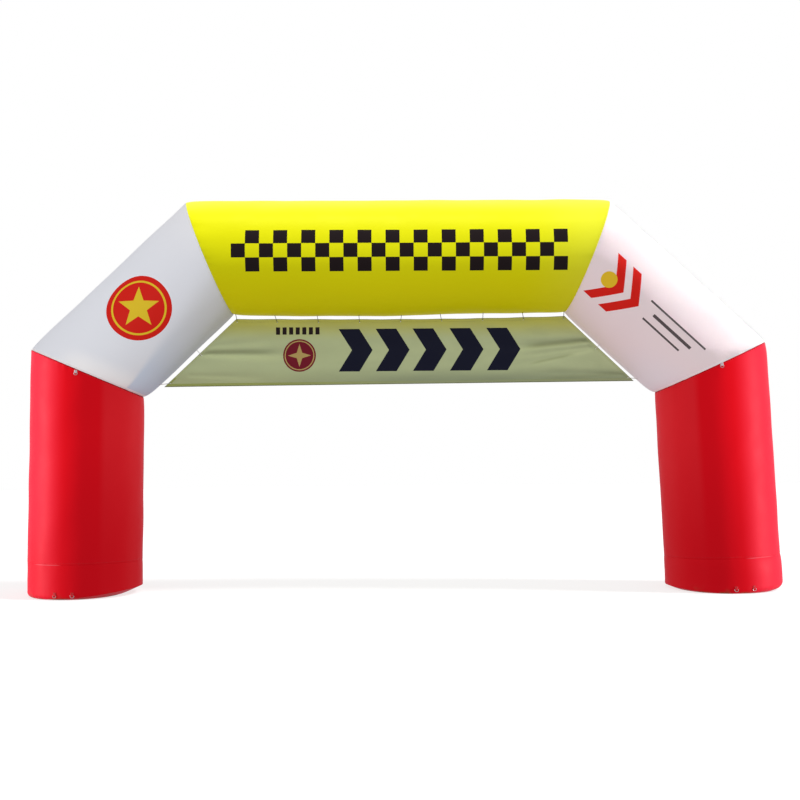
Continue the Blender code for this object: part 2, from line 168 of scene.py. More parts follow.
TIE_DIAMETER = 0.006
STRANDS = 3
STRAND_RADIUS = 0.0015
STRAND_SIDES = 8
TIE_LAY = 0.022
TIE_STEP = 0.0012
# How far a cord's end reaches past its CAD node's, to meet the smooth cloth.
TIE_REACH = 0.0015
# A cord's straight run before its turn round the hem, and the steps of that turn.
TIE_LEAD = 0.004
TIE_TURN_STEPS = 12

WEBBING_WIDTH = 0.030
WEBBING_THICKNESS = 0.0016
TAIL_LENGTH = 0.030
NECK_LENGTH = 0.010
RING_WIRE = 0.005
RING_INNER_WIDTH = 0.032
RING_SHOULDER = 0.004
RING_BEND = 0.0035
RING_SIDES = 20
# The points along a ring's bar, and the steps of its small bends and of its bow.
BAR_POINTS = 14
BEND_STEPS = 6
BOW_STEPS = 40
# How much thicker the wire is at its weld, and the square of the weld's width in points.
WELD_SWELL = 0.10
WELD_SPREAD = 3.0
LOOP_STEP = 30
# The strap's loop round the bar: its inner radius, and its face against the cloth.
LOOP_INNER = (RING_WIRE / 2 + CLEARANCE) / math.cos(math.radians(LOOP_STEP / 2))
LOOP_BACK = -(LOOP_INNER + WEBBING_THICKNESS)
STRAP_TURN_STEPS = 18
STRAP_STEP = 0.0011
STRAP_ROUNDING = 0.0006
STRAP_FILL = 0.94
# The stitches on a tab's tail: their pitch, the share of it that each starts and ends at, and
# how far the box that they make lies inside the strap's edges and ends.
TAB_STITCH_PITCH = 0.0034
TAB_STITCH_SPAN = (0.12, 0.88)
BOX_INSIDE_EDGES = 0.004
BOX_INSIDE_ENDS = 0.003

FRONT = np.array((0.0, -1.0, 0.0))
TURN = 2.0 * math.pi

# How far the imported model's origin lies from the centre line's own.
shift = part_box("foot_left")[0].x - (CENTRE_LINE["foot_left"][0] - FOOT_RADIUS["left"])


def link_new(name, data):
    """Return a new object, linked to the scene."""
    made = bpy.data.objects.new(name, data)
    bpy.context.collection.objects.link(made)
    return made


def mesh_from(name, shape):
    """Return a mesh from a bmesh, and free that."""
    mesh = bpy.data.meshes.new(name)
    shape.to_mesh(mesh)
    shape.free()
    return mesh


def new_mesh(name, vertices, faces):
    """Return a smooth mesh with room for its pattern's coordinates."""
    mesh = bpy.data.meshes.new(name)
    mesh.from_pydata(vertices, [], faces)
    mesh.uv_layers.new(name="cloth")
    mesh.shade_smooth()
    return mesh


def corner_vertices(mesh):
    """Return the vertex at each corner of a mesh's faces."""
    corners = np.empty(len(mesh.loops), dtype=np.int32)
    mesh.loops.foreach_get("vertex_index", corners)
    return corners


def set_pattern(mesh, values):
    """Set the pattern's coordinates at each corner of a mesh's faces."""
    mesh.uv_layers[0].data.foreach_set("uv", values.astype(np.float32).ravel())


def grid_quads(index, beside):
    """Return the faces between a grid's columns and the columns beside them."""
    corners = (index[:, :-1], beside[:, :-1], beside[:, 1:], index[:, 1:])
    return np.stack(corners, -1).reshape(-1, 4)


# ---------------------------------------------------------------- camera

CAMERA_PLACE = (-0.1139, -10.914, 1.315)
CAMERA_YAW = math.radians(0.4253)
CAMERA_PITCH = math.radians(3.8168)
CAMERA_ROLL = math.radians(0.5174)
CAMERA_LENS_MM = 45.437
SENSOR_MM = 36.0


def make_camera():
    """Stand the camera in front of the arch, at a person's chest height."""
    data = bpy.data.cameras.new("camera")
    data.lens = CAMERA_LENS_MM
    data.sensor_width = SENSOR_MM
    camera = link_new("camera", data)
    forward = Vector((math.sin(CAMERA_YAW) * math.cos(CAMERA_PITCH),
                      math.cos(CAMERA_YAW) * math.cos(CAMERA_PITCH),
                      math.sin(CAMERA_PITCH)))
    right = forward.cross(Vector((0.0, 0.0, 1.0))).normalized()
    down = forward.cross(right)
    rolled_right = right * math.cos(CAMERA_ROLL) + down * math.sin(CAMERA_ROLL)
    rolled_down = down * math.cos(CAMERA_ROLL) - right * math.sin(CAMERA_ROLL)
    turn = Matrix((rolled_right, -rolled_down, -forward)).transposed().to_4x4()
    place = Vector(CAMERA_PLACE) + Vector((shift, 0.0, 0.0))
    camera.matrix_world = Matrix.Translation(place) @ turn
    bpy.context.scene.camera = camera


# ---------------------------------------------------------------- shader arithmetic

def feed(tree, node, inputs):
    """Link or set a node's inputs."""
    for slot, source in inputs.items():
        if isinstance(source, Value):
            source = source.socket
        if isinstance(source, bpy.types.NodeSocket):
            tree.links.new(source, node.inputs[slot])
        else:
            node.inputs[slot].default_value = source


class Value:
    """A number in a material's node tree. Arithmetic on it adds Math nodes."""

    def __init__(self, tree, socket):
        self.tree = tree
        self.socket = socket

    def math(self, operation, *others):
        """Return the result of a Math node fed by this number and the others."""
        node = self.tree.nodes.new("ShaderNodeMath")
        node.operation = operation
        feed(self.tree, node, dict(enumerate((self, *others))))
        return Value(self.tree, node.outputs[0])

    # Each makes one Math node. The last two give 1 or 0.
    __add__ = partialmethod(math, "ADD")
    __sub__ = partialmethod(math, "SUBTRACT")
    __mul__ = partialmethod(math, "MULTIPLY")
    __truediv__ = partialmethod(math, "DIVIDE")
    size = partialmethod(math, "ABSOLUTE")
    sine = partialmethod(math, "SINE")
    either = partialmethod(math, "MAXIMUM")
    repeats = partialmethod(math, "FLOORED_MODULO")
    below = partialmethod(math, "LESS_THAN")
    above = partialmethod(math, "GREATER_THAN")

    def within(self, low, high):
        """Return 1 between two limits, else 0."""
        return self.above(low) * self.below(high)

    def smooth(self, low, high):
        """Return 0 to 1 as this goes from low to high, eased at both ends."""
        node = self.tree.nodes.new("ShaderNodeMapRange")
        node.interpolation_type = "SMOOTHSTEP"
        feed(self.tree, node, {"Value": self, "From Min": low, "From Max": high})
        return Value(self.tree, node.outputs["Result"])

    def inverse(self):
        """Return 1 minus this."""
        return self * -1.0 + 1.0


class Cloth:
    """A Principled material under construction, with its pattern coordinates."""

    def __init__(self, name, colour, roughness, metallic=0.0, sheen=0.0, specular=0.5):
        self.colour = colour
        self.material = bpy.data.materials.new(name)
        self.material.use_nodes = True
        self.tree = self.material.node_tree
        self.shader = self.tree.nodes["Principled BSDF"]
        feed(self.tree, self.shader, {
            "Roughness": roughness, "Metallic": metallic, "Specular IOR Level": specular,
            "Sheen Weight": sheen, "Sheen Roughness": SHEEN_ROUGHNESS})
        coordinates = self.tree.nodes.new("ShaderNodeTexCoord")
        self.object_place = coordinates.outputs["Object"]
        self.x, self.y, self.z = self.split(self.object_place)
        self.u, self.v, _unused = self.split(coordinates.outputs["UV"])

    def split(self, socket):
        """Return a vector's three numbers."""
        node = self.tree.nodes.new("ShaderNodeSeparateXYZ")
        feed(self.tree, node, {0: socket})
        return [Value(self.tree, output) for output in node.outputs]

    def noise(self, scale, detail=2.0, stretch=None):
        """Return a noise number, about 0.5 on average, at so many cells per metre."""
        node = self.tree.nodes.new("ShaderNodeTexNoise")
        source = self.object_place
        if stretch is not None:
            mapping = self.tree.nodes.new("ShaderNodeMapping")
            feed(self.tree, mapping, {"Vector": source, "Scale": stretch})
            source = mapping.outputs["Vector"]
        feed(self.tree, node, {"Vector": source, "Scale": scale, "Detail": detail})
        return Value(self.tree, node.outputs["Fac"])

    def mix(self, first, second, amount):
        """Return a colour socket, from the first colour to the second."""
        node = self.tree.nodes.new("ShaderNodeMix")
        node.data_type = "RGBA"
        first, second = ((*colour, 1.0) if isinstance(colour, tuple) else colour
                         for colour in (first, second))
        feed(self.tree, node, {0: amount, 6: first, 7: second})
        return node.outputs[2]

    def lay(self, colour, amount):
        """Lay a colour over what is painted so far."""
        self.colour = self.mix(self.colour, colour, amount)

    def roughen(self, value):
        """Send a number to the shader's roughness."""
        feed(self.tree, self.shader, {"Roughness": value})

    def emboss(self, height, distance):
        """Add a bump whose height, from 0 to 1, stands for a distance in metres."""
        node = self.tree.nodes.new("ShaderNodeBump")
        feed(self.tree, node, {"Strength": 1.0, "Distance": distance, "Height": height})
        taken = self.shader.inputs["Normal"]
        if taken.is_linked:
            feed(self.tree, node, {"Normal": taken.links[0].from_socket})
        feed(self.tree, self.shader, {"Normal": node.outputs["Normal"]})

    def done(self):
        """Send the colour to the shader. Return the material."""
        feed(self.tree, self.shader, {"Base Color": self.colour})
        return self.material


# The coated cloth reflects less than bare plastic.
COATING = 0.04
WEAVE_PITCH = 0.0016
WEAVE_DEPTH = 0.00006
CRINKLE_DEPTH = 0.0012
DIRT_HEIGHT = 0.10
GRASS_HEIGHT = 0.030
# The painted highlight beside a knee seam: where it starts to show and where it is full.
SEAM_HIGHLIGHT_REACH = (0.026, 0.017)
SATIN = 0.46
WHITE_SATIN = 0.5
SHEEN_ROUGHNESS = 0.35
RED_SHEEN = 0.12
RED_SHEEN_TINT = (1.0, 0.58, 0.92, 1.0)


def weave_height(warp, weft, pitch):
    """Return a plain weave: threads over and under each other, from 0 to 1."""
    turn = TURN / pitch
    return (warp * turn).sine() * (weft * turn).sine() * 0.5 + 0.5


def finish_cloth(cloth, darker, roughness):
    """Give coated cloth its uneven dye, fine weave, soft crinkles and satin gloss."""
    cloth.lay(darker, cloth.noise(0.9, 3.0).smooth(0.35, 0.75) * 0.35)
    cloth.lay(darker, cloth.noise(420.0, 1.0).smooth(0.45, 0.85) * 0.18)
    cloth.roughen(cloth.noise(6.0, 3.0) * 0.16 + (roughness - 0.08))
    cloth.emboss(cloth.noise(9.0, 4.0), CRINKLE_DEPTH)
    cloth.emboss(weave_height(cloth.u, cloth.v, WEAVE_PITCH), WEAVE_DEPTH)


RED = (0.955, 0.0040, 0.0130)
RED_DARK = (0.860, 0.0036, 0.0110)
# The next five are painted light and shade: a highlight on the outer side, reflected light on the
# inner side, shade towards the ground, a shade line at the knee seams and a glint along the foot
# seams.
RED_PAINTED_HIGHLIGHT = (0.965, 0.0225, 0.0520)
RED_PAINTED_REFLECTION = (0.965, 0.0200, 0.0310)
RED_PAINTED_SHADE_LOW = (0.745, 0.0036, 0.0115)
RED_SEAM_SHADE = (0.300, 0.0020, 0.0060)
RED_GLINT = (0.960, 0.2000, 0.2400)
COOL_WHITE = (0.850, 0.862, 0.920)
COOL_WHITE_DARK = (0.780, 0.790, 0.850)
# The next two are a painted shadow on the left shoulder's underside.
WHITE_PAINTED_SHADOW = (0.700, 0.708, 0.715)
WHITE_PAINTED_SHADOW_KNEE = (0.675, 0.755, 0.910)
WARM_WHITE = (0.900, 0.820, 0.835)
WARM_WHITE_DARK = (0.830, 0.750, 0.765)
# Painted light on white cloth: highlights at the knee seams, and light and glow on the left
# shoulder.
WHITE_PAINTED_LIGHT = (0.985, 0.965, 0.980)
YELLOW = (0.955, 0.955, 0.006)
# The next two are painted light: a highlight on the top and warm reflected light underneath.
YELLOW_PAINTED_HIGHLIGHT = (0.970, 0.970, 0.085)
YELLOW_PAINTED_BOUNCE = (0.955, 0.880, 0.004)
YELLOW_DARK = (0.900, 0.860, 0.003)
PRINT_BLACK = (0.020, 0.013, 0.014)
PRINT_RED = (0.700, 0.018, 0.012)
PRINT_YELLOW = (0.800, 0.560, 0.030)
SOIL = (0.140, 0.110, 0.060)
GRASS = (0.085, 0.120, 0.030)


def outwards(cloth):
    """Return 1 on a sleeve's outer or top side, 0 at front and back, -1 on the inner."""
    return (cloth.v / LEG_RADIUS).sine()


def from_seam(cloth, seam):
    """Return how far a point lies from a seam's plane, in metres."""
    nx, ny, nz = (float(number) for number in seam.normal)
    level = float(seam.point @ seam.normal)
    return (cloth.x * nx + cloth.y * ny + cloth.z * nz - level).size()


def red_material(knees, bands):
    """Red coated cloth: painted light on its sides, painted shade towards the ground and at the
    knee seams, a painted highlight along the foot seams, and soil and grass stains below.
    """
    cloth = Cloth("red_cloth", RED, SATIN, sheen=RED_SHEEN, specular=COATING)
    feed(cloth.tree, cloth.shader, {"Sheen Tint": RED_SHEEN_TINT})
    side = outwards(cloth)
    # Painted reflected light: the inner side pinker and paler.
    cloth.lay(RED_PAINTED_REFLECTION, side.smooth(-0.45, -0.58))
    finish_cloth(cloth, RED_DARK, SATIN)
    # Painted shade: darker towards the ground.
    cloth.lay(RED_PAINTED_SHADE_LOW, cloth.z.smooth(2.0, 0.2) * 0.85)
    # Painted highlight: the outer side pinker and paler, less so low on the left leg.
    dull = cloth.z.smooth(1.1, 0.2) * cloth.x.below(0.0) * 0.45
    cloth.lay(RED_PAINTED_HIGHLIGHT, side.smooth(0.05, 0.51) * dull.inverse())
    # Painted shade: a dark line where the red cloth tucks into each knee seam.
    for seam in knees:
        cloth.lay(RED_SEAM_SHADE, from_seam(cloth, seam).smooth(0.012, 0.004) * 0.8)
    # Painted highlight along each foot seam, on its lit side.
    for seam in bands:
        near = cloth.x.below(0.0) if seam.point[0] < 0.0 else cloth.x.above(0.0)
        line = from_seam(cloth, seam).smooth(0.006, 0.002) * near
        lit = cloth.v.smooth(0.06, 0.16) * cloth.v.smooth(0.46, 0.34)
        cloth.lay(RED_GLINT, line * lit * 0.5)
    soil = cloth.noise(9.0, 6.0).smooth(0.50, 0.74) * cloth.z.smooth(DIRT_HEIGHT, 0.0)
    cloth.lay(SOIL, soil * 0.30)
    grass = cloth.noise(12.0, 4.0).smooth(0.46, 0.60) * cloth.z.smooth(GRASS_HEIGHT, 0.0)
    cloth.lay(GRASS, grass * 0.85)
    return cloth.done()


CHEQUER_LEFT = 0.322
CHEQUER_RIGHT = 3.808
CHEQUER_LOW = -0.265
CHEQUER_COLUMNS = 24
CHEQUER_ROWS = 3


def chequer_mask(cloth):
    """Return 1 on the dark squares of a chequered band across the sleeve's front."""
    column = (CHEQUER_RIGHT - CHEQUER_LEFT) / CHEQUER_COLUMNS
    high = CHEQUER_LOW + CHEQUER_ROWS * column
    across = (cloth.u - CHEQUER_LEFT).repeats(2.0 * column).below(column)
    up = (cloth.v - CHEQUER_LOW).repeats(2.0 * column).below(column)
    unlike = (across - up).size()
    inside = cloth.u.within(CHEQUER_LEFT, CHEQUER_RIGHT)
    return unlike * inside * cloth.v.within(CHEQUER_LOW, high)


def yellow_material():
    """Yellow coated cloth with the chequered band, painted warm reflected light underneath and a
    painted highlight on top and towards the right end.
    """
    cloth = Cloth("yellow_cloth", YELLOW, SATIN, specular=COATING)
    side = outwards(cloth)
    # Painted warm reflected light on the underside.
    cloth.lay(YELLOW_PAINTED_BOUNCE, side.smooth(0.0, -0.79))
    # Painted highlight on the top side and towards the right end.
    cloth.lay(YELLOW_PAINTED_HIGHLIGHT, side.smooth(0.57, 0.97))
    cloth.lay(YELLOW_PAINTED_HIGHLIGHT, cloth.u.smooth(3.3, 4.2) * 0.4)
    finish_cloth(cloth, YELLOW_DARK, SATIN)
    cloth.lay(PRINT_BLACK, chequer_mask(cloth))
    return cloth.done()


def star_mask(u, v, points, outer, inner):
    """Return 1 inside a star with its first point along +v, around (u, v) = (0, 0)."""
    sector = TURN / points
    angle = u.math("ARCTAN2", v)
    folded = ((angle + sector / 2).repeats(sector) - sector / 2).size()
    radius = (u * u + v * v).math("SQRT")
    along = radius * folded.math("COSINE")
    aside = radius * folded.sine()
    notch_along = inner * math.cos(sector / 2)
    notch_aside = inner * math.sin(sector / 2)
    side = (along - outer) * notch_aside - aside * (notch_along - outer)
    return side.below(0.0)


def disc_mask(u, v, radius):
    """Return 1 inside a circle around (u, v) = (0, 0)."""
    return (u * u + v * v).below(radius ** 2)


def ring_mask(u, v, inner, outer):
    """Return 1 between two circles around (u, v) = (0, 0)."""
    return (u * u + v * v).within(inner * inner, outer * outer)


DISC_ALONG = 0.926
DISC_ASIDE = -0.024
DISC_RADIUS = 0.340
DISC_RING = (0.265, 0.286)
# A star's points, and its radius at the points and at the notches.
DISC_STAR = (5, 0.221, 0.090)
SHOULDER_SLOPE = math.radians(43.7)


def left_shoulder_material(knee):
    """White coated cloth with a red disc that carries a yellow star and ring, a painted shadow
    underneath, painted light towards the elbow and near the knee, and a painted highlight along
    the knee seam.
    """
    cloth = Cloth("white_cloth_star", COOL_WHITE, WHITE_SATIN, specular=COATING)
    side = outwards(cloth)
    # Painted light on the upper side towards the elbow.
    cloth.lay(WHITE_PAINTED_LIGHT, cloth.u.smooth(1.2, 2.4) * side.smooth(-0.40, 0.40) * 0.7)
    # Painted shadow on the underside: a cooler, darker white, bluer near the knee. Its edge blurs
    # towards the elbow.
    aside = cloth.v + 0.61 - cloth.u * 0.185
    under = (aside / (cloth.u * cloth.u * 0.075 + 0.018)).smooth(1.0, -1.0)
    under = under * cloth.v.smooth(-1.75, -1.20)
    cloth.lay(cloth.mix(WHITE_PAINTED_SHADOW, WHITE_PAINTED_SHADOW_KNEE, cloth.u.smooth(1.5, 0.2)), under)
    finish_cloth(cloth, COOL_WHITE_DARK, WHITE_SATIN)
    apart = from_seam(cloth, knee)
    # Painted reflected light: a glow beside the knee seam, outside the painted shadow.
    knee_glow = apart.smooth(0.26, 0.04) * side.smooth(0.48, -0.10) * under.inverse()
    cloth.lay(WHITE_PAINTED_LIGHT, knee_glow)
    # Painted highlight along the knee seam.
    cloth.lay(WHITE_PAINTED_LIGHT, apart.smooth(*SEAM_HIGHLIGHT_REACH))
    u = cloth.u - DISC_ALONG
    v = cloth.v - DISC_ASIDE
    cloth.lay(PRINT_RED, disc_mask(u, v, DISC_RADIUS))
    # Turned back by the shoulder's slope, the star stands upright on the sleeve.
    level = u * math.cos(SHOULDER_SLOPE) - v * math.sin(SHOULDER_SLOPE)
    upright = u * math.sin(SHOULDER_SLOPE) + v * math.cos(SHOULDER_SLOPE)
    gold = star_mask(level, upright, *DISC_STAR).either(ring_mask(u, v, *DISC_RING))
    cloth.lay(PRINT_YELLOW, gold)
    return cloth.done()


MOTIF_ALONG = 0.42
MOTIF_ASIDE = -0.185
MOTIF_PITCH = 0.21
MOTIF_BAND = 0.115
MOTIF_HALF_HEIGHT = 0.27
MOTIF_LAG = 0.75
SUN_RADIUS = 0.085
# Each stripe's start, end, place aside and half width.
STRIPES = ((0.80, 1.55, -0.055, 0.010), (0.92, 1.43, -0.150, 0.016), (0.86, 1.36, -0.245, 0.010))


def right_shoulder_material(knee):
    """White coated cloth with two red chevrons, a yellow disc and thin dark stripes, and a
    painted highlight along the knee seam.
    """
    cloth = Cloth("white_cloth_chevrons", WARM_WHITE, WHITE_SATIN, specular=COATING)
    finish_cloth(cloth, WARM_WHITE_DARK, WHITE_SATIN)
    apart = from_seam(cloth, knee)
    cool = apart.smooth(0.75, 0.0) * outwards(cloth).smooth(-0.40, -0.95)
    cloth.lay(COOL_WHITE, cool * 0.8)
    # Painted highlight along the knee seam.
    cloth.lay(WHITE_PAINTED_LIGHT, apart.smooth(*SEAM_HIGHLIGHT_REACH))
    u = cloth.u - MOTIF_ALONG
    v = cloth.v - MOTIF_ASIDE
    lagged = u + v.size() * MOTIF_LAG
    bands = lagged.repeats(MOTIF_PITCH).below(MOTIF_BAND)
    inside = lagged.within(0.0, 2.0 * MOTIF_PITCH) * v.size().below(MOTIF_HALF_HEIGHT)
    cloth.lay(PRINT_RED, bands * inside)
    cloth.lay(PRINT_YELLOW, disc_mask(u + SUN_RADIUS, v, SUN_RADIUS))
    for start, end, aside, half in STRIPES:
        stripe = cloth.u.within(start, end) * (cloth.v - aside).size().below(half)
        cloth.lay(PRINT_BLACK, stripe * 0.9)
    return cloth.done()


BANNER_GREEN = (0.445, 0.495, 0.282)
BANNER_OLIVE = (0.465, 0.450, 0.100)
BANNER_LOW_LEFT = (0.400, 0.430, 0.235)
BANNER_LOW_RIGHT = (0.265, 0.300, 0.185)
BANNER_EDGE = (0.110, 0.120, 0.050)
BANNER_HEM = (0.290, 0.325, 0.090)
BANNER_SHADE = (0.200, 0.215, 0.105)
# Soft shade in the folds: from, to (as x and z), its half width and its strength.
STREAKS = (
    ((1.250, 2.610), (2.080, 2.680), 0.046, 0.60),
    ((1.350, 2.420), (1.850, 2.525), 0.026, 0.40),
    ((1.400, 2.258), (2.480, 2.312), 0.045, 0.30),
    ((-1.350, 2.575), (-2.150, 2.590), 0.050, 0.20),
)
NAVY = (0.010, 0.011, 0.024)
MAROON = (0.160, 0.012, 0.024)
GOLD = (0.420, 0.300, 0.110)
CHEVRON_LEFT = -0.694
CHEVRON_PITCH = 0.402
CHEVRON_WIDTH = 0.225
CHEVRON_COUNT = 5
CHEVRON_MIDDLE = 2.590
CHEVRON_HALF_HEIGHT = 0.232
# How far a chevron's arms lag behind its point, for each metre up or down.
CHEVRON_LAG = 0.62
ROUNDEL = (-1.120, 2.537)
ROUNDEL_RADIUS = 0.178
ROUNDEL_RING = (0.150, 0.162)
ROUNDEL_STAR = (4, 0.125, 0.042)
DASHES = (-1.374, -0.875, 2.765, 2.845)
DASH_PITCH = 0.0714
DASH_SHARE = 0.62
# The dashed line of stitches along the hem: pitch, length, half width, place from its edge.
HEM_STITCHES = (0.009, 0.006, 0.0009, 0.004)
BANNER_MATT = 0.72
BANNER_WEAVE_PITCH = 0.0012
BANNER_WEAVE_DEPTH = 0.00004
BANNER_CRINKLE_DEPTH = 0.0016
HEM_DEPTH = 0.0008
SHOW_THROUGH = 0.12
BACK_U = -10.0


def banner_material():
    """Thin printed cloth: olive ground, navy chevrons, a maroon roundel and dashes."""
    cloth = Cloth("banner_cloth", BANNER_GREEN, BANNER_MATT, specular=COATING)
    x = cloth.x - shift
    z = cloth.z
    # Painted yellow light, reflected from the crossbar, towards the top.
    cloth.lay(BANNER_OLIVE, z.smooth(2.68, 2.92))
    low = cloth.mix(BANNER_LOW_LEFT, BANNER_LOW_RIGHT, x.smooth(-2.3, 0.7))
    cloth.lay(low, z.smooth(2.43, 2.24))
    cloth.lay(low, cloth.noise(3.0, 4.0, (1.0, 1.0, 2.5)).smooth(0.35, 0.75) * 0.20)
    for start, end, width, depth in STREAKS:
        cloth.lay(BANNER_SHADE, streak(x, z, start, end, width) * depth)
    hem = cloth.v.below(HEM_WIDTH)
    cloth.lay(BANNER_OLIVE, hem * 0.12)
    cloth.lay(BANNER_HEM, hem * (z.below(2.30) * x.smooth(0.4, -1.6)) * 0.85)
    pitch, length, half, inset = HEM_STITCHES
    line = (cloth.v - HEM_WIDTH + inset).size().below(half)
    cloth.lay(BANNER_EDGE, line * cloth.u.repeats(pitch).below(length) * 0.6)
    cloth.lay(BANNER_EDGE, cloth.v.smooth(0.013, 0.0) * 0.75)
    # The print shows on the front, and faintly through the back.
    ink = cloth.u.above(BACK_U / 2) * (1.0 - SHOW_THROUGH) + SHOW_THROUGH

    lag = (z - CHEVRON_MIDDLE).size()
    along = x - CHEVRON_LEFT + lag * CHEVRON_LAG - CHEVRON_HALF_HEIGHT * CHEVRON_LAG
    last = CHEVRON_PITCH * (CHEVRON_COUNT - 1) + CHEVRON_WIDTH
    chevrons = along.repeats(CHEVRON_PITCH).below(CHEVRON_WIDTH)
    chevrons = chevrons * along.within(-CHEVRON_HALF_HEIGHT * CHEVRON_LAG / 2, last)
    cloth.lay(NAVY, chevrons * lag.below(CHEVRON_HALF_HEIGHT) * ink)

    u = x - ROUNDEL[0]
    v = z - ROUNDEL[1]
    cloth.lay(MAROON, disc_mask(u, v, ROUNDEL_RADIUS) * ink)
    gold = ring_mask(u, v, *ROUNDEL_RING).either(star_mask(u, v, *ROUNDEL_STAR))
    cloth.lay(GOLD, gold * ink)

    dash = (x - DASHES[0]).repeats(DASH_PITCH).below(DASH_PITCH * DASH_SHARE)
    dash = dash * x.within(DASHES[0], DASHES[1]) * z.within(DASHES[2], DASHES[3])
    cloth.lay(PRINT_BLACK, dash * ink)

    cloth.emboss(weave_height(x, z, BANNER_WEAVE_PITCH), BANNER_WEAVE_DEPTH)
    cloth.emboss(cloth.noise(11.0, 4.0), BANNER_CRINKLE_DEPTH)
    cloth.emboss(hem, HEM_DEPTH)
    return cloth.done()


# The light and the dark shade of each thread, cord and webbing.
THREADS = {
    "red_thread": ((0.62, 0.03, 0.04), (0.36, 0.01, 0.015)),
    "white_thread": ((0.80, 0.78, 0.78), (0.52, 0.50, 0.50)),
    "yellow_thread": ((0.85, 0.78, 0.05), (0.55, 0.48, 0.02)),
    "tie_cord": ((0.15, 0.14, 0.12), (0.06, 0.06, 0.05)),
    "pale_cord": ((0.80, 0.78, 0.74), (0.55, 0.53, 0.50)),
}
PALE_WEBBING = ((0.84, 0.72, 0.76), (0.52, 0.36, 0.38))
RED_WEBBING = ((0.82, 0.020, 0.030), (0.50, 0.010, 0.016))
STEEL = (0.66, 0.66, 0.68)
STEEL_DULL = (0.36, 0.35, 0.34)
TWIST_PITCH = 0.0022
TWIST_DEPTH = 0.00012
RIB_PITCH = 0.0026
HERRINGBONE_PITCH = 0.0024
WEBBING_DEPTH = 0.0004
STEEL_DEPTH = 0.00008


def thread_material(name, colour, darker):
    """Twisted or woven thread: two shades in fine diagonal bands."""
    cloth = Cloth(name, colour, 0.75, sheen=0.2)
    turn = TURN / TWIST_PITCH
    twist = (cloth.u * turn + cloth.v * turn).sine() * 0.5 + 0.5
    cloth.lay(darker, twist * 0.6)
    cloth.emboss(twist, TWIST_DEPTH)
    return cloth.done()


def webbing_material(name, colour, darker):
    """Webbing: a herringbone weave along the strap, a little soiled, with painted shade in the
    weave's hollows.
    """
    cloth = Cloth(name, colour, 0.7, sheen=0.1)
    ribs = (cloth.v * (TURN / RIB_PITCH)).sine() * 0.5 + 0.5
    bent = (cloth.v.repeats(2.0 * RIB_PITCH) - RIB_PITCH).size()
    zigzag = (cloth.u + bent).repeats(HERRINGBONE_PITCH) / HERRINGBONE_PITCH
    height = ribs * 0.6 + zigzag * 0.4
    cloth.lay(darker, cloth.noise(60.0, 4.0).smooth(0.5, 0.8) * 0.6)
    # Painted shade in the weave's hollows.
    cloth.lay(darker, height.inverse() * 0.45)
    cloth.emboss(height, WEBBING_DEPTH)
    return cloth.done()


def steel_material():
    """Zinc-plated wire: bright metal with faint dull patches."""
    cloth = Cloth("ring_steel", STEEL, 0.3, metallic=1.0)
    worn = cloth.noise(220.0, 4.0).smooth(0.45, 0.75)
    cloth.lay(STEEL_DULL, worn)
    cloth.roughen(worn * 0.25 + 0.24)
    cloth.emboss(cloth.noise(500.0, 2.0), STEEL_DEPTH)
    return cloth.done()


# ---------------------------------------------------------------- sleeves

def point_on(name):
    """Return a named point of the centre line, in the frame's place."""
    x, z = CENTRE_LINE[name]
    return np.array((x + shift, 0.0, z))


def unit(vector):
    """Return a vector at length 1."""
    return vector / np.linalg.norm(vector)


def units(vectors):
    """Return each of an array's vectors at length 1."""
    return vectors / np.linalg.norm(vectors, axis=-1)[..., None]


def spokes(angle, first, second):
    """Return the directions at angles from one vector towards another."""
    return np.cos(angle)[..., None] * first + np.sin(angle)[..., None] * second


def direction(start, end):
    """Return the unit vector from one named point to another."""
    return unit(point_on(end) - point_on(start))


def waves(count, fewest, most, seed):
    """Return random whole wave numbers round a circle, with sizes and phases."""
    draw = np.random.default_rng(seed)
    numbers = draw.integers(fewest, most + 1, count)
    sizes = draw.uniform(0.4, 1.0, count)
    phases = draw.uniform(0.0, TURN, count)
    return numbers, sizes / np.sqrt((sizes ** 2).sum()), phases


def circle_waves(angle, table):
    """Return the sum of waves at angles round a sleeve, roughly between -1.5 and 1.5."""
    numbers, sizes, phases = table
    return sum(size * np.sin(number * angle + phase)
               for number, size, phase in zip(numbers, sizes, phases))


class Swell:
    """Slow random unevenness in space, the same on every run."""

    def __init__(self, seed, shortest, longest, count=14):
        draw = np.random.default_rng(seed)
        heading = units(draw.normal(size=(count, 3)))
        length = draw.uniform(shortest, longest, count)
        self.waves = heading * (TURN / length)[:, None]
        self.phases = draw.uniform(0.0, TURN, count)

    def at(self, points):
        """Return the unevenness at points, roughly between -1 and 1."""
        turns = np.einsum("...k,wk->...w", points, self.waves) + self.phases
        return np.sin(turns).sum(-1) / math.sqrt(len(self.phases))


swell = Swell(seed=11, shortest=0.30, longest=1.10)


def fuller(angle, fullness):
    """Return how much fuller cloth stands at angles, from its (outer, inner) fullness."""
    outer, inner = fullness
    return (outer * np.maximum(0.0, np.cos(angle)) ** 2
            + inner * np.maximum(0.0, -np.cos(angle)) ** 2)


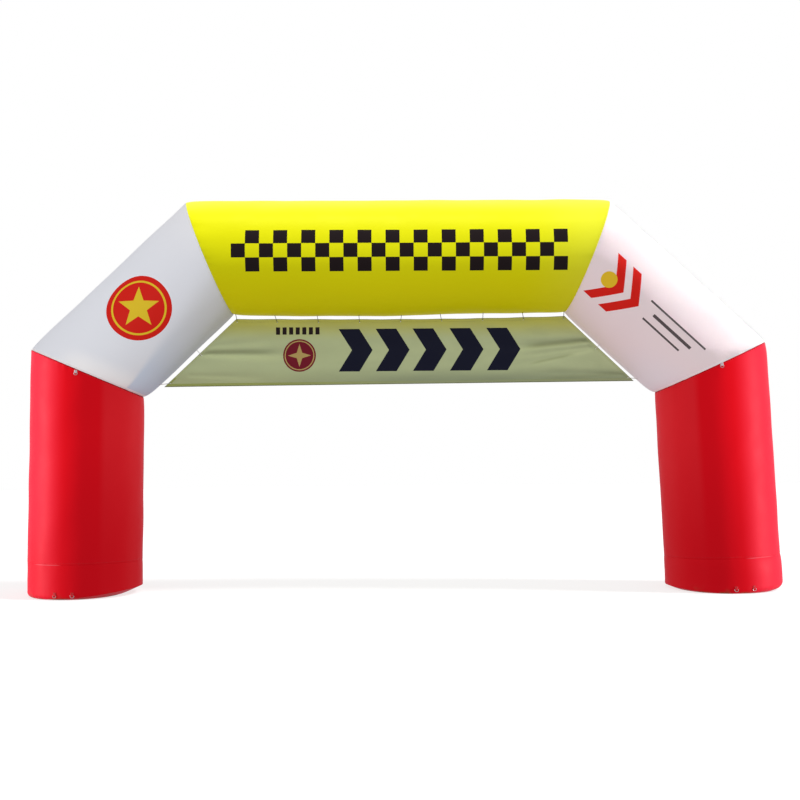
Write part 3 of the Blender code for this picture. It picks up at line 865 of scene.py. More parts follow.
class Seam:
    """A sewn joint between two sleeves: its plane, size, groove and puckers."""

    def __init__(self, point, normal, radius, corner_draw, seed, strength, lip, fullness):
        self.point = point
        self.normal = normal
        self.radius = radius * INSIDE_FLATS
        self.corner_draw = corner_draw
        self.strength = strength
        self.lip = lip
        self.fullness = fullness
        self.fine = waves(*FINE_WAVES, seed)
        self.coarse = waves(*COARSE_WAVES, seed + 1)
        self.envelope = waves(*ENVELOPE_WAVES, seed + 2)

    def radius_at(self, angle):
        """Return the seam's radius at an angle from the arch's outer side."""
        outward = np.maximum(0.0, np.cos(angle))
        return self.radius - self.corner_draw * outward ** 4 + fuller(angle, self.fullness)

    def reach(self, axis, radial, angle):
        """Return how far along an axis a sleeve's line meets the seam's plane."""
        slope = (radial @ self.normal) / (axis @ self.normal)
        return -self.radius_at(angle) * slope

    def relief(self, angle, distance):
        """Return how far the cloth stands out at a distance from the stitching."""
        groove = -GROOVE_DEPTH * np.exp(-(distance / GROOVE_WIDTH) ** 2)
        lip = self.lip * np.exp(-((distance - LIP_PLACE) / LIP_WIDTH) ** 2)
        loose = 1.0 + LOOSENESS * circle_waves(angle, self.envelope)
        crowded = 1.0 + CROWDING * ((1.0 - np.cos(angle)) / 2) ** CROWDING_POWER
        fine = PUCKER_DEPTH * circle_waves(angle, self.fine) * np.exp(-distance / PUCKER_REACH)
        coarse = DRAW_DEPTH * circle_waves(angle, self.coarse) * np.exp(-distance / DRAW_REACH)
        return self.strength * (groove + lip + loose * (fine + crowded * coarse))


# Each mitred joint between the points before and after it, its seam's radius, random seed,
# strength of its puckers, lip and (outer, inner) fullness.
JOINTS = (
    ("foot_left", "knee_left", "elbow_left", KNEE_RADIUS, 101, KNEE_SHARE, LIP_HEIGHT, EVEN),
    ("knee_left", "elbow_left", "elbow_right", ELBOW_RADIUS, 107, ELBOW_SHARE, 0.0, (0.0, 0.012)),
    ("elbow_left", "elbow_right", "knee_right", ELBOW_RADIUS, 113, ELBOW_SHARE, 0.0,
     (0.0, 0.005)),
    ("elbow_right", "knee_right", "foot_right", KNEE_RADIUS, 119, KNEE_SHARE, LIP_HEIGHT, EVEN),
)
BAND_SEEDS = {"left": 131, "right": 137}
HEM_SEEDS = {"left": 71, "right": 83}


def mitre(before, joint, after, radius, seed, strength, lip, fullness):
    """Return the seam that halves the bend at a joint."""
    across = unit(direction(before, joint) + direction(joint, after))
    lean = FRONT * (SEAM_TILT[joint] if across[2] > 0.0 else -SEAM_TILT[joint])
    return Seam(point_on(joint), unit(across - lean), radius, CORNER_DRAW[joint], seed, strength,
                lip, fullness)


def band(side):
    """Return the seam between a leg and its foot."""
    axis = direction("foot_" + side, "knee_" + side)
    normal = axis if side == "left" else -axis
    point = point_on("foot_" + side) + axis * FOOT_HEIGHT
    return Seam(point, normal, BAND_RADIUS, 0.0, BAND_SEEDS[side], BAND_SHARE, 0.0,
                FULLNESS["leg_" + side])


def away_from(tabs, points):
    """Return 0 near a sewn-on tab, where the cloth stays even, and 1 elsewhere."""
    share = np.ones(points.shape[:-1])
    for place in tabs:
        apart = np.linalg.norm(points - place, axis=-1)
        share *= 1.0 - np.exp(-(apart / CALM_RADIUS) ** 4)
    return share


class Sleeve:
    """A round inflated sleeve between two seams. Angles run from the outer side."""

    def __init__(self, name, start, end, radius, sag=0.0, belly=0.0, calm=()):
        self.name = name
        self.start = start
        self.end = end
        self.radius = radius * INSIDE_FLATS
        self.sag = sag
        self.belly = belly
        self.calm = calm
        self.length = np.linalg.norm(end.point - start.point)
        self.axis = (end.point - start.point) / self.length
        self.outside = np.array((-self.axis[2], 0.0, self.axis[0]))

    def radial(self, angle):
        """Return the directions away from the axis at angles."""
        return spokes(angle, self.outside, FRONT)

    def limits(self, angle):
        """Return where the cloth starts and ends along the axis, at angles."""
        radial = self.radial(angle)
        low = self.start.reach(self.axis, radial, angle) + CLEARANCE / 2
        high = self.length + self.end.reach(self.axis, radial, angle) - CLEARANCE / 2
        return low, high

    def surface(self, angle, along):
        """Return the cloth's points at angles and places along the axis."""
        low, high = self.limits(angle)
        from_start = along - low
        from_end = high - along
        radial = self.radial(angle)
        share = np.clip(from_start / (high - low), 0.0, 1.0)
        droop = np.sin(math.pi * share) * (1.0 - SAG_SKEW * share)
        fade = np.clip((BELLY_END - share) / BELLY_FADE, 0.0, 1.0)
        below = np.maximum(0.0, -np.cos(angle))
        size = self.radius + fuller(angle, FULLNESS[self.name]) + self.sag * droop * below
        size += self.belly * fade * fade * (3.0 - 2.0 * fade) * below ** 2
        for seam, distance in ((self.start, from_start), (self.end, from_end)):
            size += (seam.radius_at(angle) - size) * np.exp(-distance / SEAM_REACH)
        even = self.start.point + along[..., None] * self.axis + size[..., None] * radial
        middle = ((1.0 - np.exp(-from_start / MIDDLE_REACH))
                  * (1.0 - np.exp(-from_end / MIDDLE_REACH)))
        uneven = self.start.relief(angle, from_start) + self.end.relief(angle, from_end)
        uneven += SWELL_DEPTH * swell.at(even) * middle
        return even + (uneven * away_from(self.calm, even))[..., None] * radial

    def stations(self, angle):
        """Return the rows' places along the axis at angles: dense beside the seams."""
        low, high = self.limits(angle)
        edge = np.array(END_STATIONS)
        first = low[:, None] + edge
        last = high[:, None] - edge[::-1]
        shortest = (high - low).min() - 2.0 * edge[-1]
        count = max(3, int(shortest / MIDDLE_STEP))
        share = np.arange(1, count) / count
        start = first[:, -1:]
        middle = start + (last[:, :1] - start) * share
        return np.concatenate((first, middle, last), axis=1)


def grid_mesh(name, points, uv):
    """Make a closed tube from points[column][row], joined round its columns."""
    columns, rows = points.shape[:2]
    vertices = points.reshape(-1, 3).tolist()
    index = np.arange(columns * rows).reshape(columns, rows)
    after = np.roll(index, -1, axis=0)
    faces = grid_quads(index, after).tolist()
    quad_corners = 4 * len(faces)
    for row, reverse in ((0, True), (rows - 1, False)):
        hub = len(vertices)
        vertices.append(points[:, row].mean(0).tolist())
        for here, there in zip(index[:, row], after[:, row]):
            faces.append([there, here, hub] if reverse else [here, there, hub])
    mesh = new_mesh(name, vertices, faces)
    corners = corner_vertices(mesh)
    values = uv.reshape(-1, 2)[np.minimum(corners, columns * rows - 1)]
    # The last column's faces run on to the first, where the pattern would start again.
    width = (uv[-1, 0, 1] - uv[0, 0, 1]) * (columns / (columns - 1))
    wrapped = np.zeros(len(corners), dtype=bool)
    wrapped[quad_corners - (rows - 1) * 4:quad_corners] = True
    values[wrapped & (corners < rows), 1] += width
    set_pattern(mesh, values)
    return mesh


def add_piece(name, mesh, material, slot, *nodes):
    """Add a piece that rides on the root body and may stand for CAD nodes."""
    piece = link_new(name, mesh)
    mesh.materials.append(material)
    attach(piece, "root")
    if nodes:
        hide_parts(*nodes)
    return piece


def sleeve_angles():
    """Return the columns' angles, the wrap placed at the back of the sleeve."""
    return -math.pi / 2 + np.arange(SEGMENTS) * (TURN / SEGMENTS)


def add_cloth(name, points, along, angle, radius, material, slot, flipped=False):
    """Add a sleeve's cloth. Its u is metres along, its v metres round from the front."""
    uv = np.stack((along, (math.pi / 2 - angle) * radius), -1)
    mesh = grid_mesh(name + "_cloth", points, uv)
    if flipped:
        mesh.flip_normals()
    piece = add_piece(name + "_cloth", mesh, material, slot, name)


def build_sleeve(sleeve, material, slot):
    """Make one sleeve's cloth."""
    angle = sleeve_angles()
    along = sleeve.stations(angle)
    spread = np.broadcast_to(angle[:, None], along.shape)
    add_cloth(sleeve.name, sleeve.surface(spread, along), along, spread, sleeve.radius, material,
              slot)


FOOT_EDGE_ROWS = 9
FOOT_BASE_ROWS = 6
FOOT_WALL_ROWS = 16
FOOT_SEAM_ROWS = (0.030, 0.023, 0.017, 0.012, 0.008, 0.005, 0.0025, 0.0)
BASE_CURVE = 1.15
WALL_SPACING = 1.6
# The gathers along a foot's lower edge.
GATHER_DEPTH = 0.0016
GATHER_HEIGHT = 0.02
GATHER_REACH = 0.045
GATHER_START = 0.004
# Above this height a foot's wall starts to swell unevenly, fully so over this rise.
UPRIGHT_HEIGHT = 0.09
UPRIGHT_RISE = 0.1


class Foot:
    """A foot: its flat base, lifted edge and wall up to the seam under the leg."""

    def __init__(self, side, seam, calm):
        self.side = side
        self.seam = seam
        self.calm = calm
        self.radius = FOOT_RADIUS[side] * INSIDE_FLATS
        self.base = point_on("foot_" + side)
        self.axis = direction("foot_" + side, "knee_" + side)
        outside = np.array((-self.axis[2], 0.0, self.axis[0]))
        self.outside = outside if side == "left" else -outside
        self.hem = waves(*HEM_WAVES, HEM_SEEDS[side])
        self.fullness = FULLNESS["foot_" + side]

    def rows(self, angle):
        """Return each row's radius and height, at angles."""
        outward = (1.0 + np.cos(angle)) / 2
        outer = OUTER_EDGE_RADIUS[self.side]
        edge = INNER_EDGE_RADIUS + (outer - INNER_EDGE_RADIUS) * outward
        lift = EDGE_LIFT[self.side] * (1.0 - outward) ** LIFT_POWER[self.side]
        wall = self.radius + fuller(angle, self.fullness)
        rim = wall - edge
        flat = rim - BASE_MARGIN - BASE_RUN_PER_LIFT * lift
        sizes = []
        heights = []
        for step in range(FOOT_BASE_ROWS):
            share = step / FOOT_BASE_ROWS
            sizes.append(flat + (rim - flat) * share)
            heights.append(lift * share ** BASE_CURVE)
        for step in range(FOOT_EDGE_ROWS + 1):
            turn = math.pi / 2 * step / FOOT_EDGE_ROWS
            sizes.append(rim + edge * math.sin(turn))
            heights.append(lift + edge * (1.0 - math.cos(turn)))
        top = heights[-1]
        for step in range(1, FOOT_WALL_ROWS):
            share = 1.0 - (1.0 - step / FOOT_WALL_ROWS) ** WALL_SPACING
            heights.append(top + (FOOT_HEIGHT - FOOT_SEAM_ROWS[0] - top) * share)
            sizes.append(wall)
        for distance in FOOT_SEAM_ROWS:
            heights.append(FOOT_HEIGHT - distance - CLEARANCE / 2 + 0.0 * angle)
            sizes.append(wall)
        return np.stack(sizes, 1), np.stack(heights, 1)

    def points(self, angle):
        """Return the foot's points, column by column."""
        size, height = self.rows(angle)
        spread = np.broadcast_to(angle[:, None], size.shape)
        radial = spokes(spread, self.outside, FRONT)
        distance = np.maximum(0.0, FOOT_HEIGHT - CLEARANCE / 2 - height)
        wall = self.radius + fuller(spread, self.fullness)
        drawn = (wall - self.seam.radius_at(spread)) * np.exp(-distance / SEAM_REACH)
        size = size - drawn + self.seam.relief(spread, distance)
        upright = np.clip((height - UPRIGHT_HEIGHT) / UPRIGHT_RISE, 0.0, 1.0)
        lean = np.clip(height / FOOT_HEIGHT, 0.0, 1.0)[..., None]
        up = np.array((0.0, 0.0, 1.0)) * (1.0 - lean) + self.axis * lean
        level = units(radial * np.array((1.0, 1.0, 0.0)))
        heading = np.where(height[..., None] <= 0.0, level, radial)
        even = self.base + up * height[..., None] + heading * size[..., None]
        gathers = GATHER_DEPTH * circle_waves(spread, self.hem)
        gathers *= (np.exp(-np.abs(height - GATHER_HEIGHT) / GATHER_REACH)
                    * (height > GATHER_START))
        uneven = SWELL_DEPTH * swell.at(even) * upright - np.abs(gathers)
        uneven *= away_from(self.calm, even)
        points = even + heading * uneven[..., None]
        points[..., 2] = np.where(height <= 0.0, 0.0, np.maximum(points[..., 2], 0.0))
        return points, height


def build_foot(foot, material):
    """Make one foot's cloth."""
    angle = sleeve_angles()
    points, height = foot.points(angle)
    spread = np.broadcast_to(angle[:, None], height.shape)
    add_cloth("foot_" + foot.side, points, height, spread, foot.radius, material, "red_cloth",
              flipped=foot.side == "right")


def add_stitch(lists, start, end, out, thickness):
    """Add one stitch: a slim thread that dips into the cloth at both ends."""
    vertices, faces = lists
    along = end - start
    side = unit(np.cross(along, out))
    first = len(vertices)
    for share, lift, size in STITCH_RINGS:
        centre = start + along * share + out * (lift * thickness / 2)
        for corner in range(STITCH_SIDES):
            turn = TURN * corner / STITCH_SIDES
            spread = side * math.cos(turn) + out * math.sin(turn)
            vertices.append(centre + spread * (size * thickness / 2))
    last = len(vertices) - STITCH_SIDES
    for ring in range(first, last, STITCH_SIDES):
        for corner in range(STITCH_SIDES):
            here = ring + corner
            there = ring + (corner + 1) % STITCH_SIDES
            faces.append((here, there, there + STITCH_SIDES, here + STITCH_SIDES))
    faces.append(list(range(first, first + STITCH_SIDES))[::-1])
    faces.append(list(range(last, last + STITCH_SIDES)))


def build_stitches(name, rows, material, slot):
    """Make one mesh of stitches from rows of (points, outward directions)."""
    vertices = []
    faces = []
    for places, outs in rows:
        for number in range(len(places) // 2):
            add_stitch((vertices, faces), places[2 * number], places[2 * number + 1],
                       outs[2 * number], STITCH_THICKNESS)
    mesh = new_mesh(name, [tuple(place) for place in vertices], faces)
    pattern = np.zeros((len(mesh.loops), 2))
    pattern[:, 0] = np.resize(STITCH_PATTERN, len(pattern))
    set_pattern(mesh, pattern)
    add_piece(name, mesh, material, slot)


def stitch_row(sleeve, at_start):
    """Return a row of stitch ends on a sleeve beside one of its seams."""
    round_length = TURN * sleeve.radius
    count = int(round_length / STITCH_PITCH)
    half = STITCH_LENGTH / 2 / sleeve.radius
    middles = np.arange(count) * (TURN / count)
    angle = np.stack((middles - half, middles + half), 1).ravel()
    low, high = sleeve.limits(angle)
    along = low + STITCH_ROW if at_start else high - STITCH_ROW
    return sleeve.surface(angle, along), sleeve.radial(angle)


# ---------------------------------------------------------------- banner

# Troughs that fan from the side ties: from and to (as x and z), depth, width at each end.
CREASES = (
    ((-2.190, 2.560), (-1.100, 2.550), 0.025, 0.026, 0.058),
    ((-2.150, 2.640), (-1.250, 2.720), 0.007, 0.026, 0.060),
    ((-2.300, 2.330), (-1.500, 2.300), 0.006, 0.020, 0.040),
    ((2.120, 2.682), (1.050, 2.600), 0.024, 0.028, 0.056),
    ((2.100, 2.615), (1.150, 2.500), 0.012, 0.020, 0.042),
    ((2.060, 2.580), (1.200, 2.410), 0.009, 0.020, 0.042),
    ((2.380, 2.300), (1.250, 2.345), 0.008, 0.022, 0.050),
)
BANNER_COLUMNS = 480
BANNER_ROWS = 60
FLAT_MARGIN = 0.05
BANNER_UNEVENNESS = 0.0035
UNEVENNESS_SQUASH = 1.6
BANNER_HEIGHT = BANNER_TOP_LEFT[1] - BANNER_BOTTOM_LEFT[1]
# A crease is full to this share of its length, and fades out and in over these.
CREASE_FULL = 0.55
CREASE_FADE = 0.30
CREASE_START = 0.03
banner_swell = Swell(seed=29, shortest=0.22, longest=0.9)


def blend_points(first, second, share):
    """Return (x, z) points a share of the way from one to another."""
    first = np.array(first)
    second = np.array(second)
    return first + (second - first) * share[..., None]


def top_drop(across):
    """Return how far the top edge hangs below the line between its corners."""
    scallop = SCALLOP * np.sin(math.pi * across * TOP_SPANS) ** 2
    return BANNER_SAG * np.sin(math.pi * across ** BANNER_SAG_SKEW) + scallop


def crease_offset(x, z, crease):
    """Return a soft trough along a line, deepest beside the tie it runs from."""
    start, end, depth, width_start, width_end = crease
    start = np.array(start)
    line = np.array(end) - start
    length = np.linalg.norm(line)
    line = line / length
    along = (x - start[0]) * line[0] + (z - start[1]) * line[1]
    aside = -(x - start[0]) * line[1] + (z - start[1]) * line[0]
    share = np.clip(along / length, 0.0, 1.0)
    width = width_start + (width_end - width_start) * share
    past = np.maximum(0.0, along - length * CREASE_FULL)
    fade = np.exp(-past ** 2 / (CREASE_FADE * length) ** 2)
    fade *= np.exp(-np.minimum(0.0, along) ** 2 / CREASE_START ** 2)
    return depth * fade * np.exp(-(aside / width) ** 2)


def streak(x, z, start, end, width):
    """Return a mask of a soft streak of shade in a fold, strongest between its ends."""
    run = end[0] - start[0]
    share = (x - start[0]) / run
    level = share * (end[1] - start[1]) + start[1]
    ends = share.smooth(0.0, 0.3) * share.smooth(1.15, 0.75)
    return (z - level).size().smooth(width, 0.0) * ends


def banner_surface(across, up):
    """Return the banner's middle surface at shares of its width and height."""
    low = blend_points(BANNER_BOTTOM_LEFT, BANNER_BOTTOM_RIGHT, across)
    high = blend_points(BANNER_TOP_LEFT, BANNER_TOP_RIGHT, across)
    high[..., 1] -= top_drop(across)
    place = low + (high - low) * up[..., None]
    x = place[..., 0]
    z = place[..., 1]
    width = np.linalg.norm(blend_points(BANNER_BOTTOM_RIGHT, BANNER_TOP_RIGHT, up)
                           - blend_points(BANNER_BOTTOM_LEFT, BANNER_TOP_LEFT, up), axis=-1)
    to_side = np.minimum(across, 1.0 - across) * width
    to_edge = np.minimum(np.minimum(up, 1.0 - up) * BANNER_HEIGHT, to_side)
    free = np.clip(to_edge / (2.0 * FLAT_MARGIN), 0.0, 1.0)
    free = free * free * (3.0 - 2.0 * free)
    back = sum(crease_offset(x, z, crease) for crease in CREASES)
    space = np.stack((x, 0.0 * x, z * UNEVENNESS_SQUASH), -1)
    back = back + BANNER_UNEVENNESS * banner_swell.at(space)
    points = np.stack((x + shift, back * free, z), -1)
    return points, to_edge


def banner_mesh():
    """Return the banner as a closed thin sheet, its u along and v the distance to its edge."""
    across, up = np.meshgrid(np.linspace(0.0, 1.0, BANNER_COLUMNS + 1),
                             np.linspace(0.0, 1.0, BANNER_ROWS + 1), indexing="ij")
    points, to_edge = banner_surface(across, up)
    normal = units(np.cross(np.gradient(points, axis=0), np.gradient(points, axis=1)))
    front = points + normal * (BANNER_THICKNESS / 2)
    back = points - normal * (BANNER_THICKNESS / 2)
    count = across.size
    index = np.arange(count).reshape(across.shape)
    quads = grid_quads(index[:-1], index[1:])
    faces = quads.tolist() + (quads[:, ::-1] + count).tolist()
    rim = [*index[:, 0], *index[-1, 1:], *index[-2::-1, -1], *index[0, -2:0:-1]]
    for here, there in zip(rim, rim[1:] + rim[:1]):
        faces.append((there, here, here + count, there + count))
    vertices = np.concatenate((front.reshape(-1, 3), back.reshape(-1, 3)))
    mesh = new_mesh("banner_cloth", vertices.tolist(), faces)
    along = np.concatenate((points[..., 0].ravel(), points[..., 0].ravel() + BACK_U))
    edge = np.tile(to_edge.ravel(), 2)
    set_pattern(mesh, np.stack((along, edge), 1)[corner_vertices(mesh)])
    return mesh


def cut_holes(piece, holes):
    """Cut round holes through a sheet that stands in the plane y = 0."""
    shape = bmesh.new()
    for hole in holes:
        place = Matrix.Translation(Vector(hole)) @ Matrix.Rotation(math.pi / 2, 4, "X")
        bmesh.ops.create_cone(shape, cap_ends=True, segments=HOLE_SIDES, radius1=HOLE_RADIUS,
                              radius2=HOLE_RADIUS, depth=PIN_LENGTH, matrix=place)
    pins = link_new("hole_pins", mesh_from("hole_pins", shape))
    cut = piece.modifiers.new("holes", "BOOLEAN")
    cut.operation = "DIFFERENCE"
    cut.object = pins
    graph = bpy.context.evaluated_depsgraph_get()
    opened = bpy.data.meshes.new_from_object(piece.evaluated_get(graph))
    piece.modifiers.clear()
    piece.data = opened
    opened.name = "banner_cloth"
    opened.shade_smooth()
    bpy.data.objects.remove(pins)


def build_banner(material, holes):
    piece = add_piece("banner_cloth", banner_mesh(), material, "banner_cloth", "banner")
    cut_holes(piece, holes)


# ---------------------------------------------------------------- ties, tabs and rings

def node_points(node):
    """Return a CAD node's vertices."""
    mesh = frame["nodes"][node].data
    return np.array([vertex.co for vertex in mesh.vertices])


def main_axes(points):
    """Return a cloud's centre and its axes, from the widest to the narrowest."""
    lowest = points.min(0)
    centre = (lowest + points.max(0)) / 2
    _sizes, axes = np.linalg.eigh(np.cov((points - points.mean(0)).T))
    return centre, axes[:, ::-1].T


class Tie:
    """A cord from a sleeve, through the banner's hem and back, as its CAD node runs."""

    def __init__(self, node, sleeve_centre):
        points = node_points(node)
        centre, axes = main_axes(points)
        pull = axes[0]
        if pull @ (sleeve_centre - centre) < 0.0:
            pull = -pull
        self.pull = unit(pull * np.array((1.0, 0.0, 1.0)))
        radius = TIE_DIAMETER / 2
        self.turn = (points[:, 1].max() - points[:, 1].min()) / 2 - radius
        along = points @ self.pull
        plane = centre - self.pull * (centre @ self.pull)
        plane[1] = 0.0
        self.hole = plane + self.pull * (along.min() + radius)
        self.ends = {}
        for side in (-1.0, 1.0):
            strand = points[points[:, 1] * -side > 0.0]
            self.ends[side] = (strand @ self.pull).max()

    def route(self):
        """Return points down the front strand, round the hem and up the back one."""
        turn_centre = self.hole + self.pull * self.turn
        base = turn_centre @ self.pull
        front = turn_centre + FRONT * self.turn
        back = turn_centre - FRONT * self.turn
        path = [front + self.pull * (self.ends[1.0] - base + TIE_REACH)]
        path.append(front + self.pull * TIE_LEAD)
        for step in range(TIE_TURN_STEPS + 1):
            angle = math.pi * step / TIE_TURN_STEPS
            path.append(turn_centre + FRONT * (self.turn * math.cos(angle))
                        - self.pull * (self.turn * math.sin(angle)))
        path.append(back + self.pull * TIE_LEAD)
        path.append(back + self.pull * (self.ends[-1.0] - base + TIE_REACH))
        return np.array(path)


def even_path(path, step):
    """Return points evenly spaced along a route of straight pieces."""
    lengths = np.linalg.norm(np.diff(path, axis=0), axis=1)
    travelled = np.concatenate(([0.0], np.cumsum(lengths)))
    count = max(8, int(travelled[-1] / step))
    places = np.linspace(0.0, travelled[-1], count + 1)
    return np.stack([np.interp(places, travelled, path[:, k]) for k in range(3)], 1), places


def tube_rings(path, radius, sides, across):
    """Return rings of points round a path, kept square to it."""
    heading = units(np.gradient(path, axis=0))
    first = units(across - heading * (heading @ across)[:, None])
    second = np.cross(heading, first)
    turn = TURN * np.arange(sides)[:, None] / sides
    return path + radius * spokes(turn, first, second), first, second


def build_tie(node, sleeve_centre, material):
    """Make one tie from strands laid round each other. Return its hole in the hem."""
    tie = Tie(node, sleeve_centre)
    path, places = even_path(tie.route(), TIE_STEP)
    across = np.cross(tie.pull, FRONT)
    _rings, first, second = tube_rings(path, 1.0, STRANDS, across)
    lay = TIE_DIAMETER / 2 - STRAND_RADIUS
    around = TURN * np.arange(STRAND_SIDES) / STRAND_SIDES * STRAND_RADIUS
    uv = np.stack(np.broadcast_arrays(places[None, :], around[:, None]), -1)
    strands = []
    for strand in range(STRANDS):
        turn = TURN * (strand / STRANDS + places / TIE_LAY)
        laid = path + lay * spokes(turn, first, second)
        rings, _first, _second = tube_rings(laid, STRAND_RADIUS, STRAND_SIDES, across)
        strands.append(grid_mesh(f"{node}_strand", rings, uv))
    add_piece(node + "_cord", join_meshes(node + "_cord", strands), material, "tie_cord", node)
    return tie.hole


def join_meshes(name, meshes):
    """Return one mesh from several, and remove those."""
    shape = bmesh.new()
    for mesh in meshes:
        shape.from_mesh(mesh)
        bpy.data.meshes.remove(mesh)
    whole = mesh_from(name, shape)
    whole.shade_smooth()
    return whole


class Mount:
    """Where a ring's bar lies: its middle and the directions off, up and across."""

    def __init__(self, spot):
        points = node_points("ring_" + spot)
        _centre, axes = main_axes(points)
        self.across, self.up, self.off = axes
        if self.up[2] < 0.0:
            self.up = -self.up
        if self.off[1] > 0.0:
            self.off = -self.off
        self.across = np.cross(self.off, self.up)
        middle = points.mean(0)
        top = (points @ self.up).max() - RING_WIRE / 2
        lateral = points @ self.across
        self.bar = (self.up * top + self.off * (middle @ self.off)
                    + self.across * (lateral.max() + lateral.min()) / 2)

    def place(self, off, up, across):
        """Return the world point of a local one, measured from the bar's middle."""
        return self.bar + self.off * off + self.up * up + self.across * across


def arc(centre, radius, start, end, steps):
    """Return points along an arc, its angles in degrees."""
    turns = np.radians(np.linspace(start, end, steps + 1))
    return np.stack((centre[0] + radius * np.cos(turns), centre[1] + radius * np.sin(turns)), 1)


def build_ring(spot, mount, material):
    """Make a D-ring of round wire, with its weld in the middle of the bar."""
    half = (RING_INNER_WIDTH + RING_WIRE) / 2
    straight = half - RING_BEND
    corner_right = arc((straight, -RING_BEND), RING_BEND, 90, 0, BEND_STEPS)
    corner_left = arc((-straight, -RING_BEND), RING_BEND, 180, 90, BEND_STEPS)
    bow = arc((0.0, -RING_SHOULDER), half, 0, -180, BOW_STEPS)
    along_bar = np.linspace(-straight, straight, BAR_POINTS + 2)[1:-1]
    bar = np.stack((along_bar, np.zeros(BAR_POINTS)), 1)
    outline = np.concatenate((bar, corner_right, bow, corner_left))
    path = np.array([mount.place(0.0, up, across) for across, up in outline])
    following = units(np.roll(path, -1, axis=0) - np.roll(path, 1, axis=0))
    outward = np.cross(following, mount.off)
    turn = TURN * np.arange(RING_SIDES)[:, None] / RING_SIDES
    from_weld = np.arange(len(path)) - (BAR_POINTS - 1) / 2
    weld = 1.0 + WELD_SWELL * np.exp(-from_weld ** 2 / WELD_SPREAD)
    rings = spokes(turn, mount.off, outward) * (RING_WIRE / 2)
    points = path + rings * weld[None, :, None]
    index = np.arange(points.size // 3).reshape(points.shape[:2])
    index = np.append(index, index[:, :1], axis=1)
    quads = grid_quads(index, np.roll(index, -1, axis=0))
    mesh = new_mesh("ring_" + spot, points.reshape(-1, 3).tolist(), quads.tolist())
    turn_faces_out(mesh)
    add_piece(f"ring_{spot}_wire", mesh, material, "ring_steel", "ring_" + spot)


def turn_faces_out(mesh):
    """Turn a closed mesh's faces outwards."""
    shape = bmesh.new()
    shape.from_mesh(mesh)
    bmesh.ops.recalc_face_normals(shape, faces=shape.faces)
    shape.to_mesh(mesh)
    shape.free()


def tab_outline():
    """Return the strap's middle line round the bar, as (off, up)."""
    middle = LOOP_INNER + WEBBING_THICKNESS / 2
    wall = LOOP_BACK + WEBBING_THICKNESS / 2
    heights = (TAIL_LENGTH, TAIL_LENGTH * 0.66, NECK_LENGTH)
    near = [*((wall, up) for up in heights), (wall, 0.003)]
    loop = arc((0.0, 0.0), middle, 180, 360, STRAP_TURN_STEPS).tolist()
    far_wall = wall + WEBBING_THICKNESS
    # The strap closes above the bar, then lies flat on its other half.
    far = [(middle * 0.96, 0.0022), (middle * 0.55, 0.0052), (far_wall + 0.0006, 0.0082),
           *((far_wall, up) for up in reversed(heights))]
    return np.array(near + loop + far)


def build_tab(spot, mount, material):
    """Make a folded webbing tab, its edges rounded."""
    line, _places = even_path(np.insert(tab_outline(), 1, 0.0, axis=1), STRAP_STEP)
    line = line[:, (0, 2)]
    heading = units(np.gradient(line, axis=0))
    normal = np.stack((-heading[:, 1], heading[:, 0]), 1)
    half = WEBBING_WIDTH / 2
    edge = half - STRAP_ROUNDING
    thick = WEBBING_THICKNESS / 2 * STRAP_FILL
    face = (-edge, -half * 0.5, half * 0.5, edge)
    section = [(-half, 0.0), *((across, -thick) for across in face),
               (half, 0.0), *((across, thick) for across in reversed(face))]
    points = np.empty((len(section), len(line), 3))
    for column, (across, out) in enumerate(section):
        for row, place in enumerate(line):
            off, up = place + normal[row] * out
            points[column, row] = mount.place(off, up, across)
    travelled = np.arange(len(line)) * STRAP_STEP
    widths = np.array([across for across, _out in section])
    uv = np.stack(np.broadcast_arrays(widths[:, None], travelled[None, :]), -1)
    mesh = grid_mesh("tab_" + spot, points, uv)
    turn_faces_out(mesh)
    add_piece(f"tab_{spot}_strap", mesh, material, "webbing", "tab_" + spot)


def tab_stitches(mount):
    """Return the rows of stitches that hold a tab's tail: a box with a cross."""
    off = LOOP_BACK + 2 * WEBBING_THICKNESS
    right = WEBBING_WIDTH / 2 - BOX_INSIDE_EDGES
    left = -right
    low, high = NECK_LENGTH + BOX_INSIDE_ENDS, TAIL_LENGTH - BOX_INSIDE_ENDS
    corners = [(left, low), (right, low), (right, high), (left, high)]
    lines = [*zip(corners, corners[1:] + corners[:1]), (corners[0], corners[2]),
             (corners[3], corners[1])]
    rows = []
    for (across_a, up_a), (across_b, up_b) in lines:
        length = math.hypot(across_b - across_a, up_b - up_a)
        count = max(2, int(length / TAB_STITCH_PITCH))
        places = []
        for number in range(count):
            for part in TAB_STITCH_SPAN:
                share = (number + part) / count
                places.append(mount.place(off, up_a + (up_b - up_a) * share,
                                          across_a + (across_b - across_a) * share))
        rows.append((np.array(places), np.array([mount.off] * len(places))))
    return rows


# ---------------------------------------------------------------- light and floor

AMBIENT = 0.66
AMBIENT_FROM_BELOW = 0.46
FLOOR_ALBEDO = 0.30
FLOOR_GLOW = 0.74
STAGE_RADIUS = 60.0
WHITE_LIGHT = (1.0, 1.0, 1.0)
WARM_LIGHT = (1.0, 0.62, 0.66)
LEFT_LEG = ("leg_left", "foot_left", "tab_guy_left", "ring_guy_left", "tab_peg_left",
            "ring_peg_left")
RIGHT_LEG = tuple(name.replace("left", "right") for name in LEFT_LEG)
# Only the pieces that these lights fall on can stand in their way.
SELF_SHADOWED = ("banner", "under")
